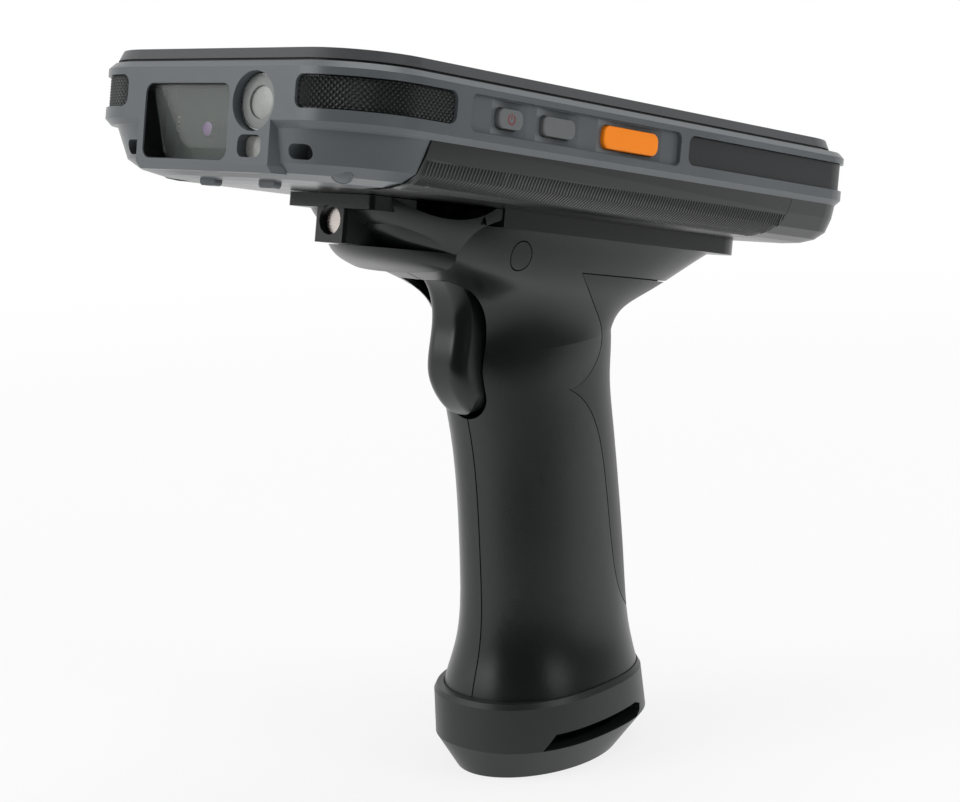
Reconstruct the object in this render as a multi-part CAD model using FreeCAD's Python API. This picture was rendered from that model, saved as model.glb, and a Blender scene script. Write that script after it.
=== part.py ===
"""Rugged handheld data terminal clipped on a pistol grip, built as separate pieces.

Millimetres. The standing frame has its origin at the centre of the grip's flat
underside, +Z up along the grip, -Y toward the scanning head and +X toward the side
with the orange key. Terminal pieces are drawn level, with z = 0 at the top edge of
the side rail, and are then raked nose up and lifted onto the grip.
"""
import FreeCAD, Part
import math
import os

V = FreeCAD.Vector

# Terminal body
LENGTH = 170.0
WIDTH = 80.0
HEAD_CORNER_R = 16.0
TAIL_CORNER_R = 13.0
BAND_DEPTH = 12.2
BODY_DEPTH = 21.8
WALL = 2.0
BAND_WALL = 3.6
HEAD_CUT_Y = -64.3
# Belly from the rails down: height, side inset
BELLY_LEVELS = [(-BAND_DEPTH, 1.2), (-15.4, 1.7), (-18.6, 2.9), (-20.4, 5.2), (-21.4, 8.4), (-BODY_DEPTH, 12.0)]

# Screen and bezel
BEZEL_RISE = 2.5
BEZEL_INSET = 1.4
GROOVE_HEIGHT = 0.5
GROOVE_INSET = 2.4
BEZEL_CORNER_R = 19.0
GLASS_MARGIN = 4.6
GLASS_THICK = 1.1
GLASS_REVEAL = 0.15
LEDGE = 2.6
DISPLAY_MARGIN = 8.0
WEB_TOP = -2.2
WEB_THICK = 1.6

# Side pockets, pads and keys
POCKET_TOP = -2.6
POCKET_BOTTOM = -8.8
POCKET_DEPTH = 1.7
POCKET_CORNER_R = 1.8
PAD_THICK = 0.9
PAD_GAP = 0.15
HEAD_POCKET_X = 23.3
HEAD_POCKET_END = -59.3
TAIL_POCKET_START = 14.4
TAIL_POCKET_X = 17.0
PANEL_START = -55.4
PANEL_END = 11.5
PANEL_TOP = -2.4
PANEL_BOTTOM = -9.5
PANEL_DEPTH = 0.9
KEY_Z = -6.0
KEY_PROUD = 0.7
KEY_GAP = 0.15
KEY_TRAVEL = 0.4
KEY_FLANGE = 0.7
KEY_FLANGE_THICK = 0.8
POWER_Y = -43.5
POWER_LENGTH = 7.2
POWER_HEIGHT = 3.9
FUNCTION_Y = -28.8
FUNCTION_LENGTH = 10.0
FUNCTION_HEIGHT = 3.9
SCAN_KEY_Y = -5.3
SCAN_KEY_LENGTH = 18.4
SCAN_KEY_HEIGHT = 4.7
VOLUME_Y = -36.0
VOLUME_LENGTH = 22.0
VOLUME_HEIGHT = 3.9
DISH_MARGIN = 1.6
DISH_DEPTH = 0.9
DISH_LAND = 0.3
KEY_BOARD_THICK = 0.8

# Head face
WINDOW_X = (-17.9, 6.0)
WINDOW_Z = (-18.7, -4.3)
WINDOW_CORNER_R = 2.0
WINDOW_DEPTH = 6.0
WINDOW_GLASS_THICK = 1.0
WINDOW_TILT = 16.0
CAMERA_X = 12.5
CAMERA_Z = -7.6
CAMERA_R = 5.6
CAMERA_RING_R = 5.4
CAMERA_RECESS = 2.0
CAMERA_RING_THICK = 1.2
CAMERA_GLASS_R = 3.1
CAMERA_DEPTH = 9.0
LENS_X = -6.2
LENS_Z = -12.2
LENS_R = 1.7
FLASH_X = 12.1
FLASH_Z = -15.9
FLASH_LENGTH = 6.3
FLASH_RECESS = 2.2
FLASH_HEIGHT = 4.2
LANYARD_X = 23.25
LANYARD_Y = -83.1
LANYARD_Z = -16.5
LANYARD_LENGTH = 5.0
LANYARD_HEIGHT = 2.8
HOOK_X = 8.3
HOOK_Y = -75.2
HOOK_WIDTH = 4.2
HOOK_LENGTH = 2.0
HOOK_LOW = -23.0
HOOK_HIGH = -20.6
# Head block from the bottom up: height, side inset, head inset, corner radius
HEAD_LEVELS = [
    (-BODY_DEPTH, 12.0, 9.0, 22.0),
    (-21.4, 8.4, 5.6, 22.0),
    (-20.4, 5.2, 3.2, 21.0),
    (-18.6, 2.9, 2.2, 19.5),
    (-12.4, 1.5, 1.3, 17.5),
    (-10.8, 0.0, 0.0, 16.0),
]
HEAD_ROOM_HALF = 19.5
# Flat face plate round the optics: height and setback of its front, from the top down
PLATE_LEVELS = [(-10.8, 0.0), (-19.4, 0.1), (-20.7, 1.3)]
PLATE_X = (-19.6, 17.4)
PLATE_FLARE = 1.5
PLATE_THICK = 2.6

# Battery and door
DOOR_END = 57.0
DOOR_SLANT = 2.4
DOOR_GAP = 0.15
DOOR_THICK = 1.5
BATTERY_LENGTH = 92.0
BATTERY_WIDTH = 50.0

# How the terminal sits on the grip
RAKE = 11.0
RAIL_HEIGHT = 145.9
RAIL_OFFSET = -7.0

# Cradle
CRADLE_THICK = 3.8
CRADLE_HALF = 20.0
CRADLE_FRONT = -20.0
CRADLE_BACK = 69.6
CRADLE_CORNER_R = 10.0
CONTACT_Y = 40.0
CRADLE_SCREW_Y = (-8.0, 52.0)
CRADLE_SCREW_X = 14.0

# Grip: height, front, rear, half width of each level section
GRIP_LEVELS = [
    (9.8, -21.0, 18.6, 14.6),
    (18.5, -25.6, 22.8, 18.5),
    (22.3, -24.4, 22.3, 17.4),
    (26.8, -22.9, 22.0, 16.2),
    (33.8, -21.5, 22.0, 15.2),
    (45.8, -20.9, 21.9, 14.7),
    (59.8, -20.9, 21.1, 14.5),
    (73.8, -21.8, 19.9, 14.5),
    (85.8, -24.0, 19.2, 14.7),
    (95.8, -24.8, 19.8, 15.2),
]
# Neck: terminal z, front, rear, half width and squareness of each raked section
NECK_LEVELS = [
    (-38.5, -19.0, 42.6, 16.2, 2.5),
    (-34.5, -33.0, 50.6, 18.0, 2.8),
    (-30.0, -42.0, 59.0, 18.8, 3.2),
]
NECK_FRONT = -45.5
NECK_POWER = 3.2
SECTION_POWER = 2.35
SECTION_POINTS = 12
SECTION_PAST = 0.06
GRIP_WALL = 2.4
PARTING_HALF = 0.16
PARTING_DEPTH = 0.35
NECK_TOP = -BODY_DEPTH - CRADLE_THICK

# Front shroud and latch
BLOCK_HALF = 4.3
BLOCK_FRONT = -50.3
BLOCK_BACK = -29.0
BLOCK_BOTTOM = -31.8
BLOCK_TOP = -21.95
EAR_HALF = 11.9
EAR_BOTTOM = -24.8
EAR_SETBACK = -0.6
EAR_BACK = -42.0
# Chin rings: terminal z, front, half width
CHIN_LEVELS = [(-31.9, -45.4, 16.2), (-33.4, -43.4, 16.2), (-35.2, -38.4, 15.9), (-36.85, -31.6, 15.2)]
CHIN_POWER = 2.0
# Nose rings above the chin: terminal z, front, half width
NOSE_LEVELS = [(-21.95, -49.5, 19.7), (-25.0, -48.0, 19.6), (-28.2, -43.4, 18.8), (-32.0, -38.0, 16.6)]
WELL_X = (6.7, 12.0)
WELL_Y = (-38.0, -29.0)
WELL_FLOOR = -27.6
SEAM_BOTTOM = -37.0
# Seam between the shroud and the half shells, seen from the side: terminal y, z
SEAM_PATH = [(-20.0, -24.4), (-24.4, -26.0), (-27.4, -28.2), (-28.2, -31.0), (-28.2, -33.6), (-29.4, -35.8)]
SEAM_END = -32.6
SEAM_GAP = 0.3
LATCH_Z = -27.3
LATCH_HOLE_R = 2.95
LATCH_R = 2.85
LATCH_RECESS = 1.6
LATCH_TRAVEL = 2.0
LATCH_LENGTH = 8.0
LATCH_HOLE_DEPTH = 14.0
DIP_R = 22.0
DIP_DEPTH = 3.2
NOTCH_Y = -25.4
NOTCH_X = 16.6
NOTCH_R = 2.9

# Trigger
TRIGGER_HALF = 5.4
TRIGGER_GAP = 0.4
PIVOT_Y = -19.5
PIVOT_Z = 109.8
PIVOT_R = 1.5
PIVOT_FIT = 0.05
TRIGGER_FRONT = [(-31.6, 112.4), (-29.3, 101.4), (-31.0, 91.8), (-27.6, 84.8), (-24.6, 82.1)]
TRIGGER_BACK = [(-17.5, 85.8), (-14.6, 112.4)]
TRIGGER_ROUND = 3.2
TRIGGER_ROOM = 0.8
FLARE_Z = 92.0
FLARE_HALF = 8.0
TIP_DROP = 0.9
SPRING_ROOM_R = 3.6
SPRING_ROOM_HALF = 2.6
SPRING_R = 2.6
SWITCH_Z = 91.8
SWITCH_FRONT = -12.4
PLUNGER_FRONT = -14.2
BOARD_HALF = 11.0
BOARD_Y = -8.0
BOARD_THICK = 1.6
BOARD_Z = (78.0, 104.0)
RIB_Z = (80.0, 98.0)
SHELL_SCREW_Z = (31.0, 58.0)
SHELL_SCREW_Y = 2.0

# Rear grip pad and side plugs
REAR_PAD_THICK = 1.6
REAR_PAD_GAP = 0.3
PLUG_GAP = 0.25
PAD_UPPER = [(-4.0, 111.3), (4.5, 101.8), (7.2, 95.8), (4.5, 90.3), (-5.5, 85.8)]
PAD_LOWER = [(-5.5, 85.8), (3.8, 76.8), (6.8, 65.8), (8.8, 45.8), (11.5, 35.8), (19.0, 29.8)]
PAD_TOP_REAR = 101.8
PLUG_Y = -24.2
PLUG_Z = 117.7
PLUG_R = 3.0

# Base boot
BASE_TOP = 18.2
BASE_HALF = (20.4, 27.0)
BASE_CENTRE_Y = -1.9
BASE_CHAMFER = 7.0
BASE_CHAMFER_FRONT = 3.2
BASE_CHAMFER_Z = 7.0
BASE_FLOOR = 2.6
BOOT_GAP = 0.15
# Strap slot seen from the side: y, z
SLOT_PATH = [(-20.6, 7.0), (-17.6, 10.4), (9.0, 10.6), (11.8, 9.5), (11.4, 8.0), (9.5, 7.0)]
SLOT_INNER_X = 12.0


def rake(shape):
    """Place a piece drawn level with the terminal onto the standing grip."""
    copy = shape.copy()
    copy.rotate(V(0, 0, 0), V(1, 0, 0), -RAKE)
    copy.translate(V(0, RAIL_OFFSET, RAIL_HEIGHT))
    return copy


def save(name, shape):
    """Write one named piece."""
    shape.exportStep("parts/" + name + ".step")


def box(x0, x1, y0, y1, z0, z1):
    """A box between two corners."""
    return Part.makeBox(x1 - x0, y1 - y0, z1 - z0, V(x0, y0, z0))


def rod(radius, start, end):
    """A round bar from start to end."""
    start, end = V(*start), V(*end)
    return Part.makeCylinder(radius, (end - start).Length, start, end - start)


def group(solids):
    """Several separate solids kept in one node."""
    return Part.makeCompound(solids)


def outline(inset, z, head_inset=None, tail_inset=None, head_r=HEAD_CORNER_R, tail_r=TAIL_CORNER_R):
    """Plan outline of the terminal, drawn inward by an inset, at height z."""
    head_inset = inset if head_inset is None else head_inset
    tail_inset = inset if tail_inset is None else tail_inset
    x = WIDTH / 2 - inset
    y0 = -LENGTH / 2 + head_inset
    y1 = LENGTH / 2 - tail_inset
    rh = max(head_r - inset, 2.0)
    rt = max(tail_r - inset, 2.0)
    d = math.sqrt(0.5)
    edges = [
        Part.LineSegment(V(-x + rh, y0, z), V(x - rh, y0, z)),
        Part.Arc(V(x - rh, y0, z), V(x - rh + rh * d, y0 + rh - rh * d, z), V(x, y0 + rh, z)),
        Part.LineSegment(V(x, y0 + rh, z), V(x, y1 - rt, z)),
        Part.Arc(V(x, y1 - rt, z), V(x - rt + rt * d, y1 - rt + rt * d, z), V(x - rt, y1, z)),
        Part.LineSegment(V(x - rt, y1, z), V(-x + rt, y1, z)),
        Part.Arc(V(-x + rt, y1, z), V(-x + rt - rt * d, y1 - rt + rt * d, z), V(-x, y1 - rt, z)),
        Part.LineSegment(V(-x, y1 - rt, z), V(-x, y0 + rh, z)),
        Part.Arc(V(-x, y0 + rh, z), V(-x + rh - rh * d, y0 + rh - rh * d, z), V(-x + rh, y0, z)),
    ]
    return Part.Wire([edge.toShape() for edge in edges])


def slab(z0, z1, inset, **kinds):
    """A flat plate with the terminal's outline."""
    return Part.Face(outline(inset, z0, **kinds)).extrude(V(0, 0, z1 - z0))


def tapered(z0, z1, inset0, inset1, **kinds):
    """A plate whose outline changes its inset between two heights."""
    return Part.makeLoft([outline(inset0, z0, **kinds), outline(inset1, z1, **kinds)], True, True)


def pill(length, height, radius, y, z, x0, x1):
    """A rounded bar across the side wall, seen from the side as a rounded rectangle."""
    r = min(radius, height / 2 - 0.01)
    body = box(x0, x1, y - length / 2, y + length / 2, z - height / 2, z + height / 2)
    edges = [e for e in body.Edges if abs(e.tangentAt(e.FirstParameter).x) > 0.9]
    return body.makeFillet(r, edges)


def face_pill(length, height, radius, x, z, y0, y1):
    """A rounded rectangle run along Y, for openings in the head face."""
    r = min(radius, height / 2 - 0.01)
    body = box(x - length / 2, x + length / 2, y0, y1, z - height / 2, z + height / 2)
    edges = [e for e in body.Edges if abs(e.tangentAt(e.FirstParameter).y) > 0.9]
    return body.makeFillet(r, edges)


def mirrored(shape):
    """The same piece on the other side."""
    return shape.mirror(V(0, 0, 0), V(1, 0, 0))


# Terminal shells

def belly_form(shrink=0.0):
    """The solid below the rails: a straight strip, then rounded under toward the back."""
    levels = [(z if z == -BAND_DEPTH else z + shrink, inset + shrink) for z, inset in BELLY_LEVELS]
    layers = [tapered(low, high, deep, wide) for (high, wide), (low, deep) in zip(levels, levels[1:])]
    return layers[0].multiFuse(layers[1:]).removeSplitter()


def door_region(gap=0.0):
    """Prism through the body where the battery door lies."""
    front = HEAD_CUT_Y - gap
    low = HEAD_CUT_Y - DOOR_SLANT - gap
    end = DOOR_END + gap
    top = -BAND_DEPTH
    bottom = -BODY_DEPTH - 1.0
    drop = top - bottom
    x = WIDTH
    start = V(-x, front, top)
    points = [
        Part.LineSegment(start, V(-x, low, bottom)),
        Part.LineSegment(V(-x, low, bottom), V(-x, end - drop, bottom)),
        Part.Arc(V(-x, end - drop, bottom), V(-x, end - 0.29 * drop, bottom + 0.29 * drop), V(-x, end, top)),
        Part.LineSegment(V(-x, end, top), start),
    ]
    return Part.Face(Part.Wire([p.toShape() for p in points])).extrude(V(2 * x, 0, 0))


def key_specs():
    """Name, side, position, length, height and corner of every side key."""
    return [
        ("power_key", 1, POWER_Y, POWER_LENGTH, POWER_HEIGHT, 1.7),
        ("function_key", 1, FUNCTION_Y, FUNCTION_LENGTH, FUNCTION_HEIGHT, 1.6),
        ("scan_key_right", 1, SCAN_KEY_Y, SCAN_KEY_LENGTH, SCAN_KEY_HEIGHT, 1.9),
        ("volume_key", -1, VOLUME_Y, VOLUME_LENGTH, VOLUME_HEIGHT, 1.7),
        ("scan_key_left", -1, SCAN_KEY_Y, SCAN_KEY_LENGTH, SCAN_KEY_HEIGHT, 1.9),
    ]


def pocket(side, kind, depth, gap=0.0):
    """Volume of a head or tail corner pocket, to a depth below the rail face."""
    ring = slab(POCKET_BOTTOM + gap, POCKET_TOP - gap, -1.0)
    ring = ring.cut(slab(POCKET_BOTTOM - 1, POCKET_TOP + 1, depth))
    height = POCKET_TOP - POCKET_BOTTOM - 2 * gap
    middle = (POCKET_TOP + POCKET_BOTTOM) / 2
    corner = POCKET_CORNER_R - gap
    start_x = (HEAD_POCKET_X if kind == "head" else TAIL_POCKET_X) + gap
    if kind == "head":
        start, end = -LENGTH, HEAD_POCKET_END - gap
    else:
        start, end = TAIL_POCKET_START + gap, LENGTH
    along = pill(end - start, height, corner, (start + end) / 2, middle, 0, WIDTH)
    across = face_pill(WIDTH, height, corner, start_x + WIDTH / 2, middle, -LENGTH, LENGTH)
    cut = ring.common(along).common(across)
    return cut if side > 0 else mirrored(cut)


def side_panel(side):
    """Shallow recess behind the side keys, with a wide scoop across it at each key."""
    face = WIDTH / 2
    middle = (PANEL_START + PANEL_END) / 2
    height = PANEL_TOP - PANEL_BOTTOM
    cut = pill(PANEL_END - PANEL_START, height, 1.5, middle, (PANEL_TOP + PANEL_BOTTOM) / 2,
               face - PANEL_DEPTH, face + 1)
    for name, key_side, y, length, tall, corner in key_specs():
        if key_side == side:
            half = length / 2 + DISH_MARGIN
            radius = (half ** 2 + DISH_DEPTH ** 2) / (2 * DISH_DEPTH)
            x = face - PANEL_DEPTH - DISH_DEPTH + radius
            dish = rod(radius, (x, y, PANEL_BOTTOM + DISH_LAND), (x, y, PANEL_TOP - DISH_LAND))
            cut = cut.fuse(dish.common(box(0, face, -LENGTH, LENGTH, -BODY_DEPTH, 0)))
    return cut if side > 0 else mirrored(cut)


def key_shape(side, y, length, height, corner):
    """One key: a rounded cap through the wall with a retaining flange behind it."""
    face = WIDTH / 2 - PANEL_DEPTH + KEY_PROUD
    inner = WIDTH / 2 - BAND_WALL
    cap = pill(length, height, corner, y, KEY_Z, inner - 0.1, face)
    front = [e for e in cap.Edges if e.BoundBox.XMin > face - 0.01]
    cap = cap.makeFillet(0.45, front)
    flange = pill(length + 2 * KEY_FLANGE, height + 2 * KEY_FLANGE, corner, y, KEY_Z,
                  inner - 0.1 - KEY_FLANGE_THICK, inner - 0.1)
    flange = flange.common(box(0, WIDTH, -LENGTH, LENGTH, -BODY_DEPTH, WEB_TOP - WEB_THICK - KEY_GAP))
    whole = cap.fuse(flange).removeSplitter()
    return whole if side > 0 else mirrored(whole)


def window_opening():
    """The scan window's opening in the head face."""
    x0, x1 = WINDOW_X
    z0, z1 = WINDOW_Z
    return face_pill(x1 - x0, z1 - z0, WINDOW_CORNER_R, (x0 + x1) / 2, (z0 + z1) / 2,
                     -LENGTH / 2 - 1, -LENGTH / 2 + WINDOW_DEPTH)


def head_inner():
    """Space behind the head face for the scan engine and the camera."""
    front = -LENGTH / 2 + WINDOW_DEPTH
    back = HEAD_CUT_Y - DOOR_SLANT - 0.2
    return box(-HEAD_ROOM_HALF, HEAD_ROOM_HALF, front, back, -BODY_DEPTH + 2.6, WEB_TOP - WEB_THICK)


def head_block():
    """The block below the rails at the head, rounder toward its underside."""
    wires = []
    for z, side, head, corner in HEAD_LEVELS:
        wires.append(outline(side, z, head, side, corner + side, corner + side))
    body = Part.makeLoft(wires[:2], True, True)
    for low, high in zip(wires[1:], wires[2:]):
        body = body.fuse(Part.makeLoft([low, high], True, True))
    return body.fuse(face_plate())


def face_plate():
    """Flat plate round the optics, standing out of the rounder block."""
    left, right = PLATE_X
    wires = []
    for z, setback in PLATE_LEVELS:
        front = -LENGTH / 2 + setback
        back = front + PLATE_THICK
        corners = [V(left, front, z), V(right, front, z), V(right + PLATE_FLARE, back, z),
                   V(left - PLATE_FLARE, back, z)]
        wires.append(Part.makePolygon(corners + corners[:1]))
    return Part.makeLoft(wires, True, True)


def mid_frame():
    """Band with the two rails, closed by the head block that holds the optics."""
    chamfer = 1.2
    body = tapered(-chamfer, 0, 0.0, chamfer)
    body = body.fuse(slab(-BAND_DEPTH + chamfer, -chamfer, 0.0))
    body = body.fuse(tapered(-BAND_DEPTH, -BAND_DEPTH + chamfer, chamfer, 0.0))
    body = body.cut(slab(WEB_TOP, 1, BAND_WALL))
    body = body.cut(slab(-BAND_DEPTH - 1, WEB_TOP - WEB_THICK, BAND_WALL))
    head = head_block()
    block = slab(-BAND_DEPTH, WEB_TOP - WEB_THICK, BAND_WALL - 0.1)
    zone = box(-WIDTH, WIDTH, -LENGTH, HEAD_CUT_Y, -BODY_DEPTH - 2, 2)
    slant = door_region(DOOR_GAP)
    head = head.fuse(block).common(zone).cut(slant)
    body = body.fuse(head).removeSplitter()
    for side in (1, -1):
        body = body.fuse(strap_hook(side))
        body = body.cut(pocket(side, "head", POCKET_DEPTH))
        body = body.cut(pocket(side, "tail", POCKET_DEPTH))
        body = body.cut(side_panel(side))
        slot = face_pill(LANYARD_LENGTH, LANYARD_HEIGHT, 1.3, side * LANYARD_X, LANYARD_Z,
                         LANYARD_Y - 6, LANYARD_Y + 5)
        body = body.cut(slot)
    for name, side, y, length, height, corner in key_specs():
        hole = pill(length + 2 * KEY_GAP, height + 2 * KEY_GAP, corner, y, KEY_Z,
                    WIDTH / 2 - BAND_WALL - 1, WIDTH / 2 + 1)
        body = body.cut(hole if side > 0 else mirrored(hole))
    body = body.cut(window_opening()).cut(head_inner())
    hole = rod(CAMERA_R, (CAMERA_X, -LENGTH / 2 - 2, CAMERA_Z), (CAMERA_X, HEAD_CUT_Y - 8, CAMERA_Z))
    body = body.cut(hole)
    flash = face_pill(FLASH_LENGTH, FLASH_HEIGHT, 1.5, FLASH_X, FLASH_Z, -LENGTH / 2 - 2, -LENGTH / 2 + 8)
    return body.cut(flash)


def back_housing():
    """Tray below the band: a floor over the battery bay, and the tail under the rails."""
    form = belly_form()
    zone = box(-WIDTH, WIDTH, HEAD_CUT_Y + DOOR_GAP, LENGTH, -BODY_DEPTH - 1, -BAND_DEPTH)
    tail = form.common(zone).cut(door_region(DOOR_GAP))
    hollow = belly_form(WALL).common(box(-WIDTH, WIDTH, DOOR_END + 3, LENGTH, -BODY_DEPTH, -BAND_DEPTH + 1))
    tail = tail.cut(hollow)
    floor = slab(-BAND_DEPTH, -BAND_DEPTH + WALL, BAND_WALL + 0.1)
    floor = floor.common(box(-WIDTH, WIDTH, HEAD_CUT_Y + 0.1, LENGTH, -WIDTH, WIDTH))
    return tail.fuse(floor).removeSplitter()


def battery_door():
    """Wrap-round door that closes the battery bay."""
    form = belly_form().common(door_region())
    bay = belly_form(DOOR_THICK)
    bay = bay.common(box(-WIDTH, WIDTH, HEAD_CUT_Y + 2, DOOR_END - 12, -BODY_DEPTH, -BAND_DEPTH + 1))
    return form.cut(bay)


def front_bezel():
    """Raised surround of the screen."""
    kinds = {"head_r": HEAD_CORNER_R + 1, "tail_r": BEZEL_CORNER_R}
    body = slab(0, GROOVE_HEIGHT, GROOVE_INSET, **kinds)
    body = body.fuse(tapered(GROOVE_HEIGHT, BEZEL_RISE, BEZEL_INSET, BEZEL_INSET + 0.9, **kinds))
    body = body.cut(slab(BEZEL_RISE - GLASS_THICK - GLASS_REVEAL, BEZEL_RISE + 1, GLASS_MARGIN, **kinds))
    return body.cut(slab(-1, BEZEL_RISE + 1, GLASS_MARGIN + LEDGE, **kinds)).removeSplitter()


def touch_glass():
    """Cover glass let into the bezel."""
    top = BEZEL_RISE - GLASS_REVEAL
    return slab(top - GLASS_THICK, top, GLASS_MARGIN + 0.1, head_r=HEAD_CORNER_R + 1, tail_r=BEZEL_CORNER_R)


def display_module():
    """Display stack between the frame's web and the glass."""
    top = BEZEL_RISE - GLASS_REVEAL - GLASS_THICK
    return slab(WEB_TOP, top, DISPLAY_MARGIN, head_r=HEAD_CORNER_R + 1, tail_r=BEZEL_CORNER_R)


def corner_pad(side, kind):
    """Rubber inlay at the floor of a corner pocket."""
    whole = pocket(side, kind, POCKET_DEPTH, PAD_GAP)
    return whole.common(slab(-BAND_DEPTH, 0, POCKET_DEPTH - PAD_THICK))


def main_board():
    """Circuit board under the display web."""
    top = WEB_TOP - WEB_THICK
    board = box(-30, 30, HEAD_CUT_Y + 2, 70, top - 1.2, top)
    shields = [box(-22, 4, -40, -10, top - 3.0, top - 1.2), box(-20, 12, 10, 44, top - 2.6, top - 1.2)]
    for shield in shields:
        board = board.fuse(shield)
    return board


def key_board(side):
    """Strip board with dome switches behind the side keys."""
    inner = WIDTH / 2 - BAND_WALL - 0.1 - KEY_FLANGE_THICK
    back = inner - KEY_TRAVEL - 0.5
    strip = box(back - KEY_BOARD_THICK, back, PANEL_START, PANEL_END, KEY_Z - 3.2, WEB_TOP - WEB_THICK)
    for name, key_side, y, length, height, corner in key_specs():
        if key_side == side:
            strip = strip.fuse(rod(1.8, (back - 0.1, y, KEY_Z), (back + 0.4, y, KEY_Z)))
    return strip if side > 0 else mirrored(strip)


def battery_pack():
    """Battery between the tray floor and the door."""
    low = -BODY_DEPTH + DOOR_THICK
    return box(-BATTERY_WIDTH / 2, BATTERY_WIDTH / 2, HEAD_CUT_Y + 6, HEAD_CUT_Y + 6 + BATTERY_LENGTH,
               low, -BAND_DEPTH)


# Optics in the head

def scan_window():
    """Tilted window set back in its opening."""
    x0, x1 = WINDOW_X
    z0, z1 = WINDOW_Z
    face = -LENGTH / 2 + 1.6
    plate = box(x0 + 0.2, x1 - 0.2, face, face + WINDOW_GLASS_THICK, z0 - 1.5, z1 + 2.0)
    plate.rotate(V(0, face, z1), V(1, 0, 0), WINDOW_TILT)
    inside = window_opening()
    return plate.common(inside)


def scan_engine():
    """Imager block behind the window, with its lens barrel."""
    front = -LENGTH / 2 + WINDOW_DEPTH + 0.4
    back = HEAD_CUT_Y - DOOR_SLANT - 0.4
    body = box(-17.0, 3.0, front + 1.5, back, -BODY_DEPTH + 2.8, WEB_TOP - WEB_THICK)
    barrel = rod(LENS_R, (LENS_X, front, LENS_Z), (LENS_X, front + 2, LENS_Z))
    return body.fuse(barrel)


def camera_module():
    """Camera barrel behind the round opening."""
    front = -LENGTH / 2
    face = front + CAMERA_RECESS + CAMERA_RING_THICK
    return rod(CAMERA_R - 0.2, (CAMERA_X, face, CAMERA_Z), (CAMERA_X, front + CAMERA_DEPTH, CAMERA_Z))


def camera_ring():
    """Trim ring in the camera opening."""
    front = -LENGTH / 2 + CAMERA_RECESS
    back = front + CAMERA_RING_THICK
    ring = rod(CAMERA_RING_R, (CAMERA_X, front, CAMERA_Z), (CAMERA_X, back, CAMERA_Z))
    return ring.cut(rod(CAMERA_GLASS_R, (CAMERA_X, front - 1, CAMERA_Z), (CAMERA_X, back + 1, CAMERA_Z)))


def camera_glass():
    """Camera window inside the trim ring."""
    front = -LENGTH / 2 + CAMERA_RECESS
    back = front + CAMERA_RING_THICK
    return rod(CAMERA_GLASS_R - 0.05, (CAMERA_X, front + 0.4, CAMERA_Z), (CAMERA_X, back, CAMERA_Z))


def flash_lens():
    """Lens of the illumination lamp below the camera."""
    front = -LENGTH / 2
    length, height = FLASH_LENGTH - 0.3, FLASH_HEIGHT - 0.3
    return face_pill(length, height, 1.4, FLASH_X, FLASH_Z, front + FLASH_RECESS, front + 8)


def strap_hook(side):
    """One of the two lugs under the head."""
    x = side * HOOK_X
    lug = box(x - HOOK_WIDTH / 2, x + HOOK_WIDTH / 2, HOOK_Y - HOOK_LENGTH / 2, HOOK_Y + HOOK_LENGTH / 2,
              HOOK_LOW, HOOK_HIGH)
    foot = [e for e in lug.Edges if e.BoundBox.ZMax < HOOK_LOW + 0.1 and e.BoundBox.YLength > 1]
    return lug.makeFillet(0.8, foot)


# Sections of the grip

def ring_points(front, rear, half, place, shrink=0.0, power=SECTION_POWER):
    """Points of a rounded section, carried a little past the middle plane."""
    centre = (front + rear) / 2
    depth = (rear - front) / 2 - shrink
    half = half - shrink
    past = SECTION_PAST * (1 + shrink)
    points = []
    for step in range(SECTION_POINTS + 1):
        angle = (math.pi + 2 * past) * (step / SECTION_POINTS - 0.5)
        c, s = math.cos(angle), math.sin(angle)
        x = half * math.copysign(abs(c) ** (2 / power), c)
        y = centre + depth * math.copysign(abs(s) ** (2 / power), s)
        points.append(place(x, y))
    return points


def half_wire(points):
    """A section's right half: a smooth curve closed by a line just past the middle."""
    curve = Part.BSplineCurve()
    curve.interpolate(Points=points, Parameters=[float(i) for i in range(len(points))])
    line = Part.LineSegment(points[-1], points[0])
    return Part.Wire([curve.toShape(), line.toShape()])


def raked_point(x, y, z):
    """A point given in terminal coordinates, in the standing frame."""
    a = math.radians(RAKE)
    return V(x, y * math.cos(a) + z * math.sin(a) + RAIL_OFFSET,
             -y * math.sin(a) + z * math.cos(a) + RAIL_HEIGHT)


def level_ring(z, front, rear, half, shrink=0.0, power=SECTION_POWER):
    """Right half of a level section."""
    return half_wire(ring_points(front, rear, half, lambda x, y: V(x, y, z), shrink, power))


def raked_ring(z, front, rear, half, shrink=0.0, power=SECTION_POWER):
    """Right half of a section that lies parallel to the terminal."""
    return half_wire(ring_points(front, rear, half, lambda x, y: raked_point(x, y, z), shrink, power))


def right_side(shape):
    """What lies on the right of the middle plane."""
    return shape.cut(box(-WIDTH, 0, -2 * LENGTH, 2 * LENGTH, -LENGTH, 2 * LENGTH))


def whole(half):
    """Both halves of a piece that is modelled on its right side only."""
    right = right_side(half)
    return right.fuse(mirrored(right)).removeSplitter()


def cradle_slab(z0, z1, shrink=0.0):
    """The cradle plate between two heights."""
    x = CRADLE_HALF - shrink
    body = box(-x, x, CRADLE_FRONT + shrink, CRADLE_BACK - shrink, z0, z1)
    back = [e for e in body.Edges
            if abs(e.tangentAt(e.FirstParameter).z) > 0.9 and e.BoundBox.YMin > CRADLE_BACK - shrink - 1]
    return body.makeFillet(CRADLE_CORNER_R - shrink, back)


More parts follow.
